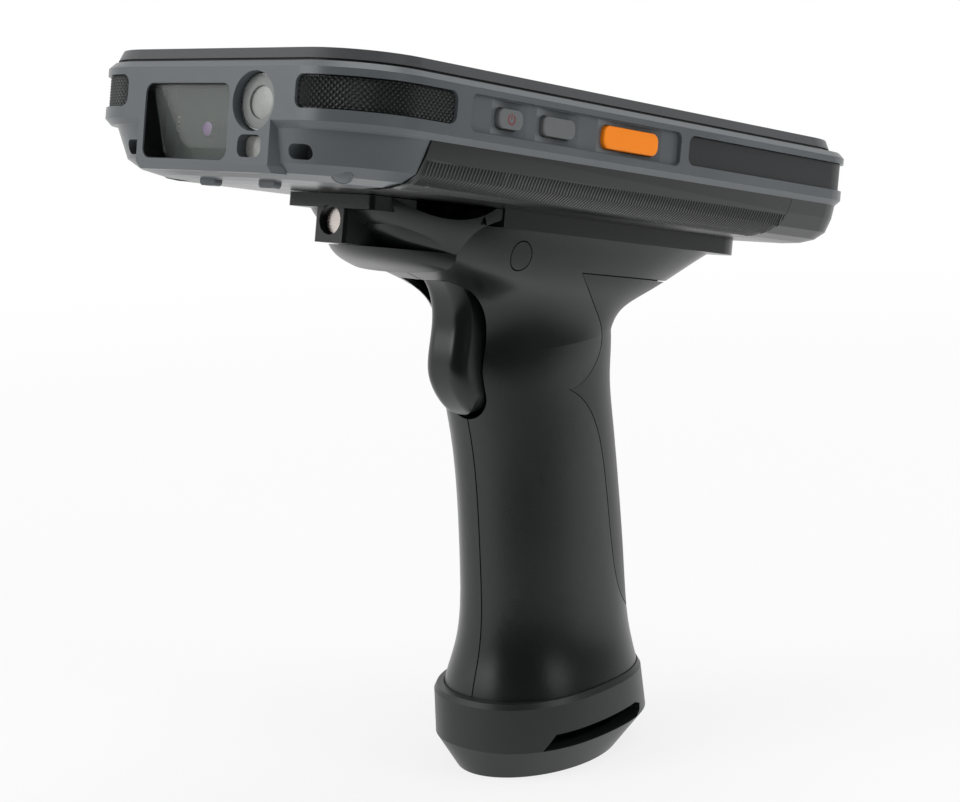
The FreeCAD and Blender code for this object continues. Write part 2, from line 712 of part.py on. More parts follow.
def grip_form(shrink=0.0):
    """Right half of grip and neck as one solid, shrunk for the hollow inside."""
    levels = [level_ring(*level, shrink) for level in GRIP_LEVELS]
    neck = [level_ring(*GRIP_LEVELS[-1], shrink)]
    neck += [raked_ring(z, front, rear, half, shrink, power) for z, front, rear, half, power in NECK_LEVELS]
    neck.append(raked_ring(NECK_TOP, NECK_FRONT, CRADLE_BACK - 1.0, CRADLE_HALF - 0.6, shrink, NECK_POWER))
    return Part.makeLoft(levels, True, False).fuse(Part.makeLoft(neck, True, False))


def side_points(pairs):
    """Points on the plane x = 0 from (y, z) pairs."""
    return [V(0, y, z) for y, z in pairs]


def smooth_edge(points):
    """A smooth open edge through points."""
    curve = Part.BSplineCurve()
    curve.interpolate(Points=points)
    return curve.toShape()


def straight_edges(points):
    """Straight edges from point to point."""
    return [Part.LineSegment(a, b).toShape() for a, b in zip(points, points[1:])]


def trigger_profile():
    """Side outline of the trigger as a face on x = 0."""
    front = side_points(TRIGGER_FRONT)
    back = side_points(TRIGGER_BACK)
    edges = [smooth_edge(front)] + straight_edges([front[-1]] + back + [front[0]])
    return Part.Face(Part.Wire(edges))


def trigger_body():
    """Finger trigger on its pivot pin."""
    face = trigger_profile()
    face.translate(V(-TRIGGER_HALF, 0, 0))
    body = face.extrude(V(2 * TRIGGER_HALF, 0, 0))
    front = []
    for e in body.Edges:
        bb = e.BoundBox
        if bb.XLength < 0.01 and bb.ZLength > 20 and bb.YMax < -24:
            front.append(e)
    body = body.makeFillet(TRIGGER_ROUND, front)
    body = body.cut(rod(PIVOT_R + PIVOT_FIT, (-20, PIVOT_Y, PIVOT_Z), (20, PIVOT_Y, PIVOT_Z)))
    body = body.common(tongue(TRIGGER_HALF, TRIGGER_FRONT[-1][1]))
    room = rod(SPRING_ROOM_R, (-SPRING_ROOM_HALF, PIVOT_Y, PIVOT_Z), (SPRING_ROOM_HALF, PIVOT_Y, PIVOT_Z))
    return body.cut(room)


def tongue(half, low):
    """Prism along Y with a round lower end, as the trigger is seen from the front."""
    middle = low + half
    end = rod(half, (0, -LENGTH, middle), (0, 0, middle))
    return end.fuse(box(-half, half, -LENGTH, 0, middle, RAIL_HEIGHT)).removeSplitter()


def trigger_spring():
    """Return spring coiled on the pivot pin, drawn as a sleeve."""
    half = SPRING_ROOM_HALF - 0.2
    sleeve = rod(SPRING_R, (-half, PIVOT_Y, PIVOT_Z), (half, PIVOT_Y, PIVOT_Z))
    return sleeve.cut(trigger_pin())


def trigger_switch():
    """Switch on the trigger board, with its plunger toward the trigger."""
    body = box(-4.0, 4.0, SWITCH_FRONT, BOARD_Y, SWITCH_Z - 5.0, SWITCH_Z + 5.0)
    return body.fuse(rod(1.5, (0, PLUNGER_FRONT, SWITCH_Z), (0, SWITCH_FRONT, SWITCH_Z)))


def trigger_slot():
    """Room for the trigger in the shells, open to the front."""
    half = TRIGGER_HALF + TRIGGER_GAP
    low = TRIGGER_FRONT[-1][1] - TRIGGER_ROOM - TIP_DROP + TRIGGER_GAP
    high = TRIGGER_BACK[1][1] + TRIGGER_ROOM
    front = TRIGGER_FRONT[0][0] - 2 * WALL
    back = BOARD_Y - 3.0
    corners = [(half, low + half), (half, FLARE_Z), (FLARE_HALF, high - 3.0), (FLARE_HALF - 1.6, high)]
    ring = [V(x, front, z) for x, z in corners] + [V(-x, front, z) for x, z in reversed(corners)]
    slot = Part.Face(Part.makePolygon(ring + ring[:1])).extrude(V(0, back - front, 0))
    return slot.fuse(rod(half, (0, front, low + half), (0, back, low + half)))


def seam_zone(gap=0.0):
    """Volume ahead of the seam between the shroud and the shells, drawn level."""
    path = [V(-WIDTH, y - gap, z + gap) for y, z in SEAM_PATH]
    far = V(-WIDTH, -LENGTH, SEAM_BOTTOM + gap)
    end = V(-WIDTH, SEAM_END - gap, SEAM_BOTTOM + gap)
    high = V(-WIDTH, path[0].y, 0)
    edges = straight_edges([path[-1], end, far, V(-WIDTH, -LENGTH, 0), high, path[0]])
    face = Part.Face(Part.Wire([smooth_edge(path)] + edges))
    return face.extrude(V(2 * WIDTH, 0, 0))


def front_shroud(form, hollow):
    """Nose under the terminal: chin, flared bow and the central latch block."""
    back = CRADLE_FRONT - SEAM_GAP
    zone = seam_zone(SEAM_GAP)

    def nose_ring(z, front, half, power=SECTION_POWER):
        return raked_ring(z, front, -front + 2 * back, half, 0.0, power)

    shell = form.cut(hollow)
    nose = Part.makeLoft([nose_ring(*level) for level in NOSE_LEVELS], True, False)
    chin = Part.makeLoft([nose_ring(*level, CHIN_POWER) for level in CHIN_LEVELS], True, False)
    mid = (NOSE_LEVELS[0][1] + CRADLE_FRONT) / 2 + 1.0
    dip = BLOCK_TOP + DIP_R - DIP_DEPTH
    scoop = rake(rod(DIP_R, (EAR_HALF, mid, dip), (WIDTH, mid, dip)))
    well = rake(box(*WELL_X, *WELL_Y, WELL_FLOOR, 0))
    ahead = rake(zone.common(box(0, WIDTH, -LENGTH, back, SEAM_BOTTOM - 1, BLOCK_TOP)))
    body = shell.fuse(nose).fuse(chin).common(ahead)
    body = body.cut(scoop).cut(well).cut(rake(notch(1)))
    body = right_side(body)
    body = body.fuse(mirrored(body)).fuse(rake(latch_block()))
    hole_end = BLOCK_FRONT + LATCH_HOLE_DEPTH
    return body.cut(rake(rod(LATCH_HOLE_R, (0, -LENGTH, LATCH_Z), (0, hole_end, LATCH_Z))))


def latch_block():
    """Block that carries the latch plunger, with an ear on each side at the top."""
    block = box(-BLOCK_HALF, BLOCK_HALF, BLOCK_FRONT, BLOCK_BACK, BLOCK_BOTTOM, BLOCK_TOP)
    front = [e for e in block.Edges if e.BoundBox.YMax < BLOCK_FRONT + 0.01 and e.BoundBox.ZLength > 1]
    block = block.makeFillet(0.8, front)
    ears = box(-EAR_HALF, EAR_HALF, BLOCK_FRONT + EAR_SETBACK, EAR_BACK, EAR_BOTTOM, BLOCK_TOP)
    tips = [e for e in ears.Edges
            if e.BoundBox.YMax < BLOCK_FRONT + EAR_SETBACK + 0.01 and e.BoundBox.ZLength > 1]
    return block.fuse(ears.makeFillet(1.0, tips))


def notch(side):
    """Screw notch in the shroud's shoulder."""
    x = side * NOTCH_X
    return rod(NOTCH_R, (x, NOTCH_Y, BLOCK_TOP - 3.6), (x, NOTCH_Y, 0))


def shroud_screws():
    """Screws in the two notches of the shroud."""
    screws = []
    for side in (1, -1):
        x = side * NOTCH_X
        low = BLOCK_TOP - 3.6
        head = rod(2.3, (x, NOTCH_Y, low), (x, NOTCH_Y, low + 1.2))
        screws.append(head.cut(box(x - 1.6, x + 1.6, NOTCH_Y - 0.3, NOTCH_Y + 0.3, low + 0.7, low + 3)))
    return group(screws)


def latch_button():
    """Steel plunger in the latch block, hollow behind for its spring."""
    y0 = BLOCK_FRONT + LATCH_RECESS
    body = rod(LATCH_R, (0, y0, LATCH_Z), (0, y0 + LATCH_LENGTH, LATCH_Z))
    return body.cut(rod(2.1, (0, y0 + 1.5, LATCH_Z), (0, y0 + 20, LATCH_Z)))


def latch_spring():
    """Return spring of the plunger, standing on the end of its hole."""
    end = BLOCK_FRONT + LATCH_HOLE_DEPTH
    start = BLOCK_FRONT + LATCH_RECESS + 1.5 + LATCH_TRAVEL + 0.3
    sleeve = rod(1.9, (0, start, LATCH_Z), (0, end, LATCH_Z))
    return sleeve.cut(rod(1.3, (0, start - 1, LATCH_Z), (0, end + 1, LATCH_Z)))


def rear_pad_zone(gap=0.0):
    """Side outline of the rubber pad, run across the grip, in the standing frame."""
    upper = [V(0, y - gap, z) for y, z in PAD_UPPER]
    lower = [V(0, y - gap, z) for y, z in PAD_LOWER]
    upper[0].z += gap
    lower[-1].z -= gap
    behind = 2 * GRIP_LEVELS[1][2]
    low_rear = V(0, behind, lower[-1].z)
    top_rear = V(0, behind, PAD_TOP_REAR + gap)
    edges = [smooth_edge(upper), smooth_edge(lower)]
    edges += straight_edges([lower[-1], low_rear, top_rear, upper[0]])
    face = Part.Face(Part.Wire(edges))
    face.translate(V(-WIDTH / 2, 0, 0))
    return face.extrude(V(WIDTH, 0, 0))


def plug_prism(side, grow=0.0):
    """Round prism through the side of the neck."""
    return rod(PLUG_R + grow, (side * 9, PLUG_Y, PLUG_Z), (side * 29, PLUG_Y, PLUG_Z))


def trigger_board():
    """Circuit board of the trigger, slid into the ribs of the shells."""
    return box(-BOARD_HALF, BOARD_HALF, BOARD_Y, BOARD_Y + BOARD_THICK, *BOARD_Z)


def half_shell(form, hollow, skin):
    """The right half shell before its screw holes, with boss, ribs and posts."""
    posts = [rod(4.0, (7.6, PIVOT_Y, PIVOT_Z), (30, PIVOT_Y, PIVOT_Z))]
    for z in RIB_Z:
        posts.append(box(8.5, 30, BOARD_Y - 2, BOARD_Y + BOARD_THICK + 2, z, z + 3))
    for z in SHELL_SCREW_Z:
        posts.append(rod(3.4, (0, SHELL_SCREW_Y, z), (30, SHELL_SCREW_Y, z)))
    room = hollow
    for post in posts:
        room = room.cut(post)
    shell = right_side(form.cut(room))
    shell = shell.cut(rake(seam_zone()))
    shell = shell.cut(trigger_slot())
    shell = shell.cut(trigger_board())
    shell = shell.cut(trigger_pin())
    shell = shell.cut(plug_prism(1, PLUG_GAP))
    shell = shell.cut(parting_groove())
    return shell.cut(skin.common(rear_pad_zone(REAR_PAD_GAP)))


def parting_groove():
    """Shallow step along the line where the half shells meet."""
    line = box(-1.0, PARTING_HALF, -WIDTH, WIDTH, BASE_FLOOR, RAIL_HEIGHT)
    return line.cut(grip_form(PARTING_DEPTH))


def grip_shell(side, half):
    """One half shell with its screw holes."""
    shell = half if side > 0 else mirrored(half)
    for z in SHELL_SCREW_Z:
        shell = shell.cut(shell_screw(z))
    return shell


def shell_screw(z, gap=0.0):
    """One screw that joins the half shells, from the right."""
    shank = rod(1.2 + gap, (-8.0, SHELL_SCREW_Y, z), (9.0, SHELL_SCREW_Y, z))
    return shank.fuse(rod(2.5 + gap, (9.0, SHELL_SCREW_Y, z), (11.0, SHELL_SCREW_Y, z)))


def trigger_pin():
    """Pivot pin held in the two shell bosses."""
    return rod(PIVOT_R, (-12.5, PIVOT_Y, PIVOT_Z), (12.5, PIVOT_Y, PIVOT_Z))


def rear_grip_pad(skin):
    """Rubber pad let into the back of the grip."""
    return whole(skin.common(rear_pad_zone(REAR_PAD_GAP)).common(rear_pad_zone()))


def cradle_plate():
    """Plate that carries the terminal on the neck."""
    plate = cradle_slab(NECK_TOP, -BODY_DEPTH)
    for x, y in cradle_screw_places():
        plate = plate.cut(rod(1.6, (x, y, NECK_TOP - 1), (x, y, 0)))
        plate = plate.cut(rod(2.8, (x, y, -BODY_DEPTH - 1.6), (x, y, 0)))
    return plate.cut(box(-8, 8, CONTACT_Y - 3, CONTACT_Y + 3, NECK_TOP - 1, 0))


def cradle_screw_places():
    """Centres of the four screws of the cradle plate."""
    return [(side * CRADLE_SCREW_X, y) for side in (1, -1) for y in CRADLE_SCREW_Y]


def cradle_screws():
    """Countersunk screws in the cradle plate."""
    screws = []
    for x, y in cradle_screw_places():
        head = rod(2.7, (x, y, -BODY_DEPTH - 1.6), (x, y, -BODY_DEPTH - 0.2))
        shank = rod(1.5, (x, y, NECK_TOP), (x, y, -BODY_DEPTH - 1.6))
        slot = box(x - 1.8, x + 1.8, y - 0.3, y + 0.3, -BODY_DEPTH - 0.8, 0)
        screws.append(head.fuse(shank).cut(slot))
    return group(screws)


def contact_block():
    """Spring contacts that join the grip to the terminal."""
    body = box(-7.9, 7.9, CONTACT_Y - 2.9, CONTACT_Y + 2.9, NECK_TOP, -BODY_DEPTH)
    return body


# Base boot

def base_boot():
    """Rubber boot at the foot, with a strap slot through each side at the rear."""
    half_x, half_y = BASE_HALF
    front = BASE_CENTRE_Y - half_y
    rear = BASE_CENTRE_Y + half_y
    rings = [
        level_ring(0, front + BASE_CHAMFER_FRONT, rear - BASE_CHAMFER, half_x - 4.4, 0.0, 2.0),
        level_ring(BASE_CHAMFER_Z, front + 0.3, rear - 0.3, half_x - 0.3),
        level_ring(BASE_TOP - 1.2, front + 0.4, rear - 1.6, half_x - 0.5),
        level_ring(BASE_TOP, front + 0.9, rear - 2.2, half_x - 1.2),
    ]
    body = Part.makeLoft(rings, True, True)
    top, f, r, h = GRIP_LEVELS[1]
    bowl = Part.makeLoft([
        level_ring(BASE_FLOOR, front + BASE_CHAMFER, rear - BASE_CHAMFER - 2, half_x - 7.0),
        level_ring(BASE_CHAMFER_Z + 2.4, front + 3.4, rear - 3.4, half_x - 3.0),
        level_ring(BASE_TOP + 0.1, f, r, h),
    ], True, True)
    bowl = bowl.fuse(grip_form(-BOOT_GAP))
    points = [V(SLOT_INNER_X, y, z) for y, z in SLOT_PATH]
    slot = Part.Face(Part.makePolygon(points + points[:1])).extrude(V(WIDTH, 0, 0))
    return whole(body.cut(bowl).cut(slot))


def write_all():
    """Build every piece and write it."""
    os.makedirs("parts", exist_ok=True)
    terminal = {
        "mid_frame": mid_frame(),
        "back_housing": back_housing(),
        "battery_door": battery_door(),
        "front_bezel": front_bezel(),
        "touch_glass": touch_glass(),
        "display_module": display_module(),
        "main_board": main_board(),
        "key_board_right": key_board(1),
        "key_board_left": key_board(-1),
        "battery_pack": battery_pack(),
        "scan_window": scan_window(),
        "scan_engine": scan_engine(),
        "camera_module": camera_module(),
        "camera_ring": camera_ring(),
        "camera_glass": camera_glass(),
        "flash_lens": flash_lens(),
        "cradle_plate": cradle_plate(),
        "cradle_screws": cradle_screws(),
        "contact_block": contact_block(),
        "shroud_screws": shroud_screws(),
        "latch_button": latch_button(),
        "latch_spring": latch_spring(),
    }
    for side, word in ((1, "right"), (-1, "left")):
        terminal["head_pad_" + word] = corner_pad(side, "head")
        terminal["tail_pad_" + word] = corner_pad(side, "tail")
    for name, side, y, length, height, corner in key_specs():
        terminal[name] = key_shape(side, y, length, height, corner)
    for name, shape in terminal.items():
        save(name, rake(shape))
    form = grip_form()
    hollow = grip_form(GRIP_WALL)
    skin = form.cut(grip_form(REAR_PAD_THICK))
    half = half_shell(form, hollow, skin)
    plug = plug_prism(1).common(form).cut(hollow)
    standing = {
        "grip_shell_left": grip_shell(-1, half),
        "grip_shell_right": grip_shell(1, half),
        "front_shroud": front_shroud(form, hollow),
        "rear_grip_pad": rear_grip_pad(skin),
        "trigger": trigger_body(),
        "trigger_pin": trigger_pin(),
        "trigger_board": trigger_board(),
        "trigger_spring": trigger_spring(),
        "trigger_switch": trigger_switch(),
        "shell_screws": group([shell_screw(z) for z in SHELL_SCREW_Z]),
        "side_plug_right": plug,
        "side_plug_left": mirrored(plug),
        "base_boot": base_boot(),
    }
    for name, shape in standing.items():
        save(name, shape)
    for name, shape in list(terminal.items()) + list(standing.items()):
        print(name, len(shape.Solids), round(shape.Volume), shape.isValid())


write_all()
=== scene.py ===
"""Looks of the handheld data terminal on its pistol grip.

The CAD solids keep their shape and get their finishes here. New pieces add what is too
fine for the solids: the ribbed battery door, the knurled corner pads, the optics, a
near-black sheet of painted shade on the walls of the scan window's pocket, two plugs, the
turned mouth of the latch and the mark of the power key. Terminal pieces are drawn in
millimetres in the terminal's own level frame (z = 0 at the top edge of the rail, -Y toward
the scanning head) and are then raked onto the grip, as the solids are.
"""
import bpy
import bmesh
import math
from mathutils import Matrix, Vector
from mathutils.bvhtree import BVHTree


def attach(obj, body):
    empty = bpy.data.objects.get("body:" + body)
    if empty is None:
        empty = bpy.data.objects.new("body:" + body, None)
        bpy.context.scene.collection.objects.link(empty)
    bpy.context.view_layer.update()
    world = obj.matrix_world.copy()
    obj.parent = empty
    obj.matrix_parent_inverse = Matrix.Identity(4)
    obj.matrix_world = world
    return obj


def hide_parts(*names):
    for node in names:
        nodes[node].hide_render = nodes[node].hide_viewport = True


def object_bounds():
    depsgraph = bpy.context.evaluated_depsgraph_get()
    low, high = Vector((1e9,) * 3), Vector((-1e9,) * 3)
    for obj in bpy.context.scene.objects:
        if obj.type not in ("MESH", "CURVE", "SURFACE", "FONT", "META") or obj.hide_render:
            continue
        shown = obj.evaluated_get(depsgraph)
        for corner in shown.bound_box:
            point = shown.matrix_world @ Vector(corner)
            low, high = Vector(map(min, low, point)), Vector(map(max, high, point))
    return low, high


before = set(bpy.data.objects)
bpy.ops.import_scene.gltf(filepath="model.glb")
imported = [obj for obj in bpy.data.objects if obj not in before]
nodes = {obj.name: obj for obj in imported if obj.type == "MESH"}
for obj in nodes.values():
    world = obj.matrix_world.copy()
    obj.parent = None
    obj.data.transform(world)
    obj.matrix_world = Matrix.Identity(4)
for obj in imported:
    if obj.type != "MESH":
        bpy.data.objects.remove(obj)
cad_low, cad_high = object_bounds()

MM = 0.001
PIECE_SMOOTH = 35.0
MERGE_NEAR = 1e-4
SOLID_MERGE = 1e-6
CUT_NEAR = 1e-5

# How the terminal sits on the grip
RAKE = math.radians(11.0)
RAIL_HEIGHT = 145.9
RAIL_OFFSET = -7.0
STANDING = Matrix.Scale(MM, 4)
TERMINAL = (STANDING @ Matrix.Translation((0.0, RAIL_OFFSET, RAIL_HEIGHT))
            @ Matrix.Rotation(-RAKE, 4, "X"))

# Terminal
WIDTH = 80.0
LENGTH = 170.0
HEAD_FACE = -LENGTH / 2
HEAD_CORNER_R = 16.0

# Ribs of the battery door
RIB_TOP = -16.0
RIB_BOTTOM = -21.4
RIB_START = -64.0
RIB_END = 57.0
RIB_PITCH = 0.95
RIB_WIDTH = 0.5
RIB_SLOPE = 0.1
RIB_RISE = 0.13
RIB_COUNT = int((RIB_END - RIB_START) / RIB_PITCH)
RIB_SMOOTH = 25.0
FLANK_OUTWARD = 0.08
FLANK_DOWNWARD = -0.1

# Knurling of the head pads
PAD_INSET = 0.8
PAD_START_X = 23.6
PAD_END_Y = -59.6
PAD_LOW = -8.5
PAD_HIGH = -2.9
DIAMOND = 0.8
DIAMOND_RISE = 0.24
KNURL_THICK = 0.3
KNURL_SEAT = 0.02
KNURL_SMOOTH = 15.0
SPARE_CELLS = 4

# Power mark
KEY_FACE_X = 39.8
POWER_Y = -43.5
KEY_Z = -6.0
MARK_R = 0.95
MARK_LINE = 0.28
MARK_PROUD = 0.03
MARK_DEEP = 0.2
MARK_GAP = math.radians(70.0)
MARK_BAR_LENGTH = 1.2
MARK_BAR_MIDDLE = MARK_R * 0.62
MARK_BEVEL = 0.04

# Camera
CAMERA_X = 12.5
CAMERA_Z = -7.6
CAMERA_FRONT = HEAD_FACE + 2.0
CAMERA_RIM_R = 5.15
CAMERA_RIM_THICK = 0.22
CAMERA_RIM_SEAT = 0.05
CAMERA_LENS_R = 3.05
CAMERA_LENS_BACK = HEAD_FACE + 3.2
CAMERA_LENS_EDGE = HEAD_FACE + 2.45
CAMERA_DOME = 0.12
CAMERA_DOME_STEPS = 8

# Scan engine
SCAN_FACE = HEAD_FACE + 7.9
LENS_X = -6.2
LENS_Z = -12.2
LENS_R = 1.7
LENS_FRONT = HEAD_FACE + 6.4
LENS_PROUD = 0.25
LENS_RING = 0.3
LENS_SEAT = 0.02
LENS_THICK = 0.4
LENS_CURVE = [(0.0, 0.0), (0.5, 0.05), (0.85, 0.16)]
AIMER_X = -16.2
AIMER_Z = -11.3
AIMER_STEP = 0.9
AIMER_COUNT = 4
AIMER_CHIP = (0.35, 0.3, 0.35)
AIMER_PROUD = 0.05
AIMER_BEVEL = 0.05

# Near-black sheet of painted shade on the walls of the scan window's pocket
WINDOW_X = (-17.9, 6.0)
WINDOW_Z = (-18.7, -4.3)
WINDOW_CORNER_R = 2.0
SHADE_SHEET_GAP = 0.02
SHADE_SHEET_THICK = 0.15
SHADE_SHEET_FRONT = HEAD_FACE + 0.4
SHADE_SHEET_BACK = HEAD_FACE + 5.9

# Mouth of the latch hole
LATCH_FRONT = -50.3
LATCH_Z = -27.3
LATCH_HOLE_R = 2.95
THREAD_RISE = 0.16
THREAD_PITCH = 0.42
THREAD_COUNT = 3
THREAD_START = 0.3
THREAD_ROOT = 0.05

# Service plug under the head, and the dimple by the door's front corner
SERVICE_X = 28.3
SERVICE_Y = -76.4
SERVICE_R = 2.1
DIMPLE_X = 34.7
DIMPLE_Y = -60.2
DIMPLE_R = 0.7
PLUG_PROFILE = [(0.0, -0.14), (0.78, -0.12), (0.84, -0.03), (0.9, -0.03), (0.95, -0.1), (1.0, 0.0),
                (1.0, 0.3), (0.0, 0.3)]
FAR_BELOW = 200.0

# Camera and light
CAMERA_PLACE = (0.3085, -0.3661, 0.1756)
CAMERA_RIGHT = (0.75267, 0.65701, -0.04279)
CAMERA_DOWN = (0.09559, -0.17334, -0.98022)
CAMERA_AHEAD = (-0.65142, 0.73369, -0.19327)
LENS_LENGTH = 81.08
SENSOR_WIDTH = 36.0
FLOOR_SIZE = 40.0
FLOOR_COLOUR = (0.9, 0.9, 0.9, 1.0)
FLOOR_ROUGHNESS = 0.8
FLOOR_DROP = 0.0002
FLOOR_SIDE_FADE = 0.4
SHADOW_NEAR = 0.15
SHADOW_FAR = 0.9
SHADOW_FADE = 0.8
AMBIENT = 0.5
ROOM_DARK = 0.02
ROOM_FADE = 0.5
BACKDROP_SIDE = (-0.9, 0.436, 0.0)
LAMP_AIM = (0.0, 0.0, 0.1)
LAMPS = [
    ("key_lamp", (-0.6, -1.1, 0.8), 0.8, 7.0),
    ("fill_lamp", (1.2, 0.2, 0.7), 0.6, 4.0),
    ("top_lamp", (0.1, 0.3, 1.5), 1.0, 6.0),
]


# Small tools for shaping pieces

def make_piece(name, shape, place, material, body, smooth_angle=PIECE_SMOOTH):
    """Turn a shaped bmesh into a piece that rides on a body."""
    shape.transform(place)
    bmesh.ops.recalc_face_normals(shape, faces=shape.faces)
    mesh = bpy.data.meshes.new(name)
    shape.to_mesh(mesh)
    shape.free()
    for polygon in mesh.polygons:
        polygon.use_smooth = True
    mesh.set_sharp_from_angle(angle=math.radians(smooth_angle))
    piece = bpy.data.objects.new(name, mesh)
    bpy.context.scene.collection.objects.link(piece)
    mesh.materials.append(material)
    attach(piece, body)
    return piece


def round_bar(shape, profile, turns=math.tau, steps=48, start=0.0):
    """Spin a closed profile of (radius, along Y) pairs round the Y axis."""
    corners = [shape.verts.new((r, y, 0.0)) for r, y in profile]
    edges = [shape.edges.new(pair) for pair in zip(corners, corners[1:] + corners[:1])]
    if start:
        turn = Matrix.Rotation(start, 3, "Y")
        bmesh.ops.rotate(shape, verts=corners, cent=(0, 0, 0), matrix=turn)
    full = turns == math.tau
    bmesh.ops.spin(shape, geom=corners + edges, cent=(0, 0, 0), axis=(0, 1, 0), angle=turns,
                   steps=steps, use_merge=full, use_normal_flip=False)
    bmesh.ops.remove_doubles(shape, verts=shape.verts, dist=MERGE_NEAR)


def cap_ends(shape):
    """Close the open ends of a spun bar."""
    loose = [e for e in shape.edges if e.is_boundary]
    bmesh.ops.holes_fill(shape, edges=loose, sides=0)


def bevelled_block(shape, size, centre, bevel):
    """A block with bevelled edges."""
    made = bmesh.ops.create_cube(shape, size=1.0)["verts"]
    bmesh.ops.scale(shape, verts=made, vec=size)
    edges = {e for v in made for e in v.link_edges}
    result = bmesh.ops.bevel(shape, geom=list(edges), offset=bevel, segments=1,
                             affect="EDGES", profile=0.5, material=-1)
    verts = {v for f in result["faces"] for v in f.verts} | {v for v in made if v.is_valid}
    bmesh.ops.translate(shape, verts=list(verts), vec=centre)


# Shader groups

def add_node(tree, kind, **sockets):
    """A node with some of its inputs set by name."""
    node = tree.nodes.new(kind)
    for name, value in sockets.items():
        node.inputs[name.replace("_", " ")].default_value = value
    return node


def new_group(name, inputs, outputs):
    """An empty shader node group with float inputs and outputs."""
    group = bpy.data.node_groups.new(name, "ShaderNodeTree")
    for label, value in inputs.items():
        socket = group.interface.new_socket(label, in_out="INPUT", socket_type="NodeSocketFloat")
        socket.default_value = value
    for label in outputs:
        group.interface.new_socket(label, in_out="OUTPUT", socket_type="NodeSocketFloat")
    return group, group.nodes.new("NodeGroupInput"), group.nodes.new("NodeGroupOutput")


def spark_grain_group():
    """Spark-eroded mould texture: a fine pebbled height and slow handling patches."""
    inputs = {"Grain": 2600.0, "Patch": 22.0}
    group, given, out = new_group("spark_grain", inputs, ["Height", "Patches"])
    place = group.nodes.new("ShaderNodeTexCoord")
    fine = add_node(group, "ShaderNodeTexNoise", Detail=2.0, Roughness=0.55)
    pits = group.nodes.new("ShaderNodeTexVoronoi")
    slow = add_node(group, "ShaderNodeTexNoise", Detail=3.0, Roughness=0.6)
    blend = add_node(group, "ShaderNodeMath")
    blend.operation = "MULTIPLY_ADD"
    blend.inputs[1].default_value = 0.55
    link = group.links.new
    for texture in (fine, pits, slow):
        link(place.outputs["Object"], texture.inputs["Vector"])
    link(given.outputs["Grain"], fine.inputs["Scale"])
    link(given.outputs["Grain"], pits.inputs["Scale"])
    link(given.outputs["Patch"], slow.inputs["Scale"])
    link(pits.outputs["Distance"], blend.inputs[0])
    link(fine.outputs["Fac"], blend.inputs[2])
    link(blend.outputs[0], out.inputs["Height"])
    link(slow.outputs["Fac"], out.inputs["Patches"])
    return group


def fine_scratch_group():
    """Fine straight scratches from turning or brushing, across one direction."""
    group, given, out = new_group("fine_scratches", {"Length": 90.0, "Density": 5200.0}, ["Lines"])
    place = group.nodes.new("ShaderNodeTexCoord")
    split = group.nodes.new("ShaderNodeSeparateXYZ")
    join = group.nodes.new("ShaderNodeCombineXYZ")
    noise = add_node(group, "ShaderNodeTexNoise", Scale=1.0, Detail=2.0)
    link = group.links.new
    link(place.outputs["Object"], split.inputs[0])
    for axis, factor in (("X", "Length"), ("Y", "Density"), ("Z", "Density")):
        times = add_node(group, "ShaderNodeMath")
        times.operation = "MULTIPLY"
        link(split.outputs[axis], times.inputs[0])
        link(given.outputs[factor], times.inputs[1])
        link(times.outputs[0], join.inputs[axis])
    link(join.outputs[0], noise.inputs["Vector"])
    link(noise.outputs["Fac"], out.inputs["Lines"])
    return group


SPARK_GRAIN = spark_grain_group()
FINE_SCRATCHES = fine_scratch_group()


# Finishes

def new_material(name):
    """A material with its Principled shader."""
    material = bpy.data.materials.new(name)
    material.use_nodes = True
    tree = material.node_tree
    return material, tree, tree.nodes["Principled BSDF"]


def use_group(tree, group, **values):
    """Place a shared group in a material."""
    node = tree.nodes.new("ShaderNodeGroup")
    node.node_tree = group
    for name, value in values.items():
        node.inputs[name].default_value = value
    return node


def two_tone(tree, shader, mask, dark, light):
    """Base colour between two tones by a mask."""
    spread = add_node(tree, "ShaderNodeMapRange")
    spread.inputs["From Min"].default_value = 0.3
    spread.inputs["From Max"].default_value = 0.7
    mix = tree.nodes.new("ShaderNodeMix")
    mix.data_type = "RGBA"
    mix.inputs[6].default_value = (*dark, 1.0)
    mix.inputs[7].default_value = (*light, 1.0)
    tree.links.new(mask, spread.inputs["Value"])
    tree.links.new(spread.outputs[0], mix.inputs[0])
    tree.links.new(mix.outputs[2], shader.inputs["Base Color"])


def vary_roughness(tree, shader, mask, low, high):
    """Roughness between two values by a mask."""
    spread = add_node(tree, "ShaderNodeMapRange")
    spread.inputs["From Min"].default_value = 0.25
    spread.inputs["From Max"].default_value = 0.75
    spread.inputs["To Min"].default_value = low
    spread.inputs["To Max"].default_value = high
    tree.links.new(mask, spread.inputs["Value"])
    tree.links.new(spread.outputs[0], shader.inputs["Roughness"])


def raise_grain(tree, shader, height, depth_mm):
    """Bump from a height mask."""
    bump = add_node(tree, "ShaderNodeBump", Strength=1.0, Distance=depth_mm * MM)
    tree.links.new(height, bump.inputs["Height"])
    tree.links.new(bump.outputs[0], shader.inputs["Normal"])


def moulded(name, colour, roughness, grain=2600.0, depth_mm=0.012, specular=0.5, spread=0.12):
    """Moulded plastic or rubber: one colour with slow patches and a fine raised grain."""
    material, tree, shader = new_material(name)
    texture = use_group(tree, SPARK_GRAIN, Grain=grain)
    dark = [c * (1.0 - spread) for c in colour]
    light = [c * (1.0 + spread) for c in colour]
    two_tone(tree, shader, texture.outputs["Patches"], dark, light)
    vary_roughness(tree, shader, texture.outputs["Patches"], roughness - 0.05, roughness + 0.06)
    raise_grain(tree, shader, texture.outputs["Height"], depth_mm)
    shader.inputs["Specular IOR Level"].default_value = specular
    return material


def frame_finish():
    """Blue-grey satin plastic of the middle frame."""
    return moulded("frame_satin", (0.093, 0.105, 0.114), 0.32, specular=0.5)


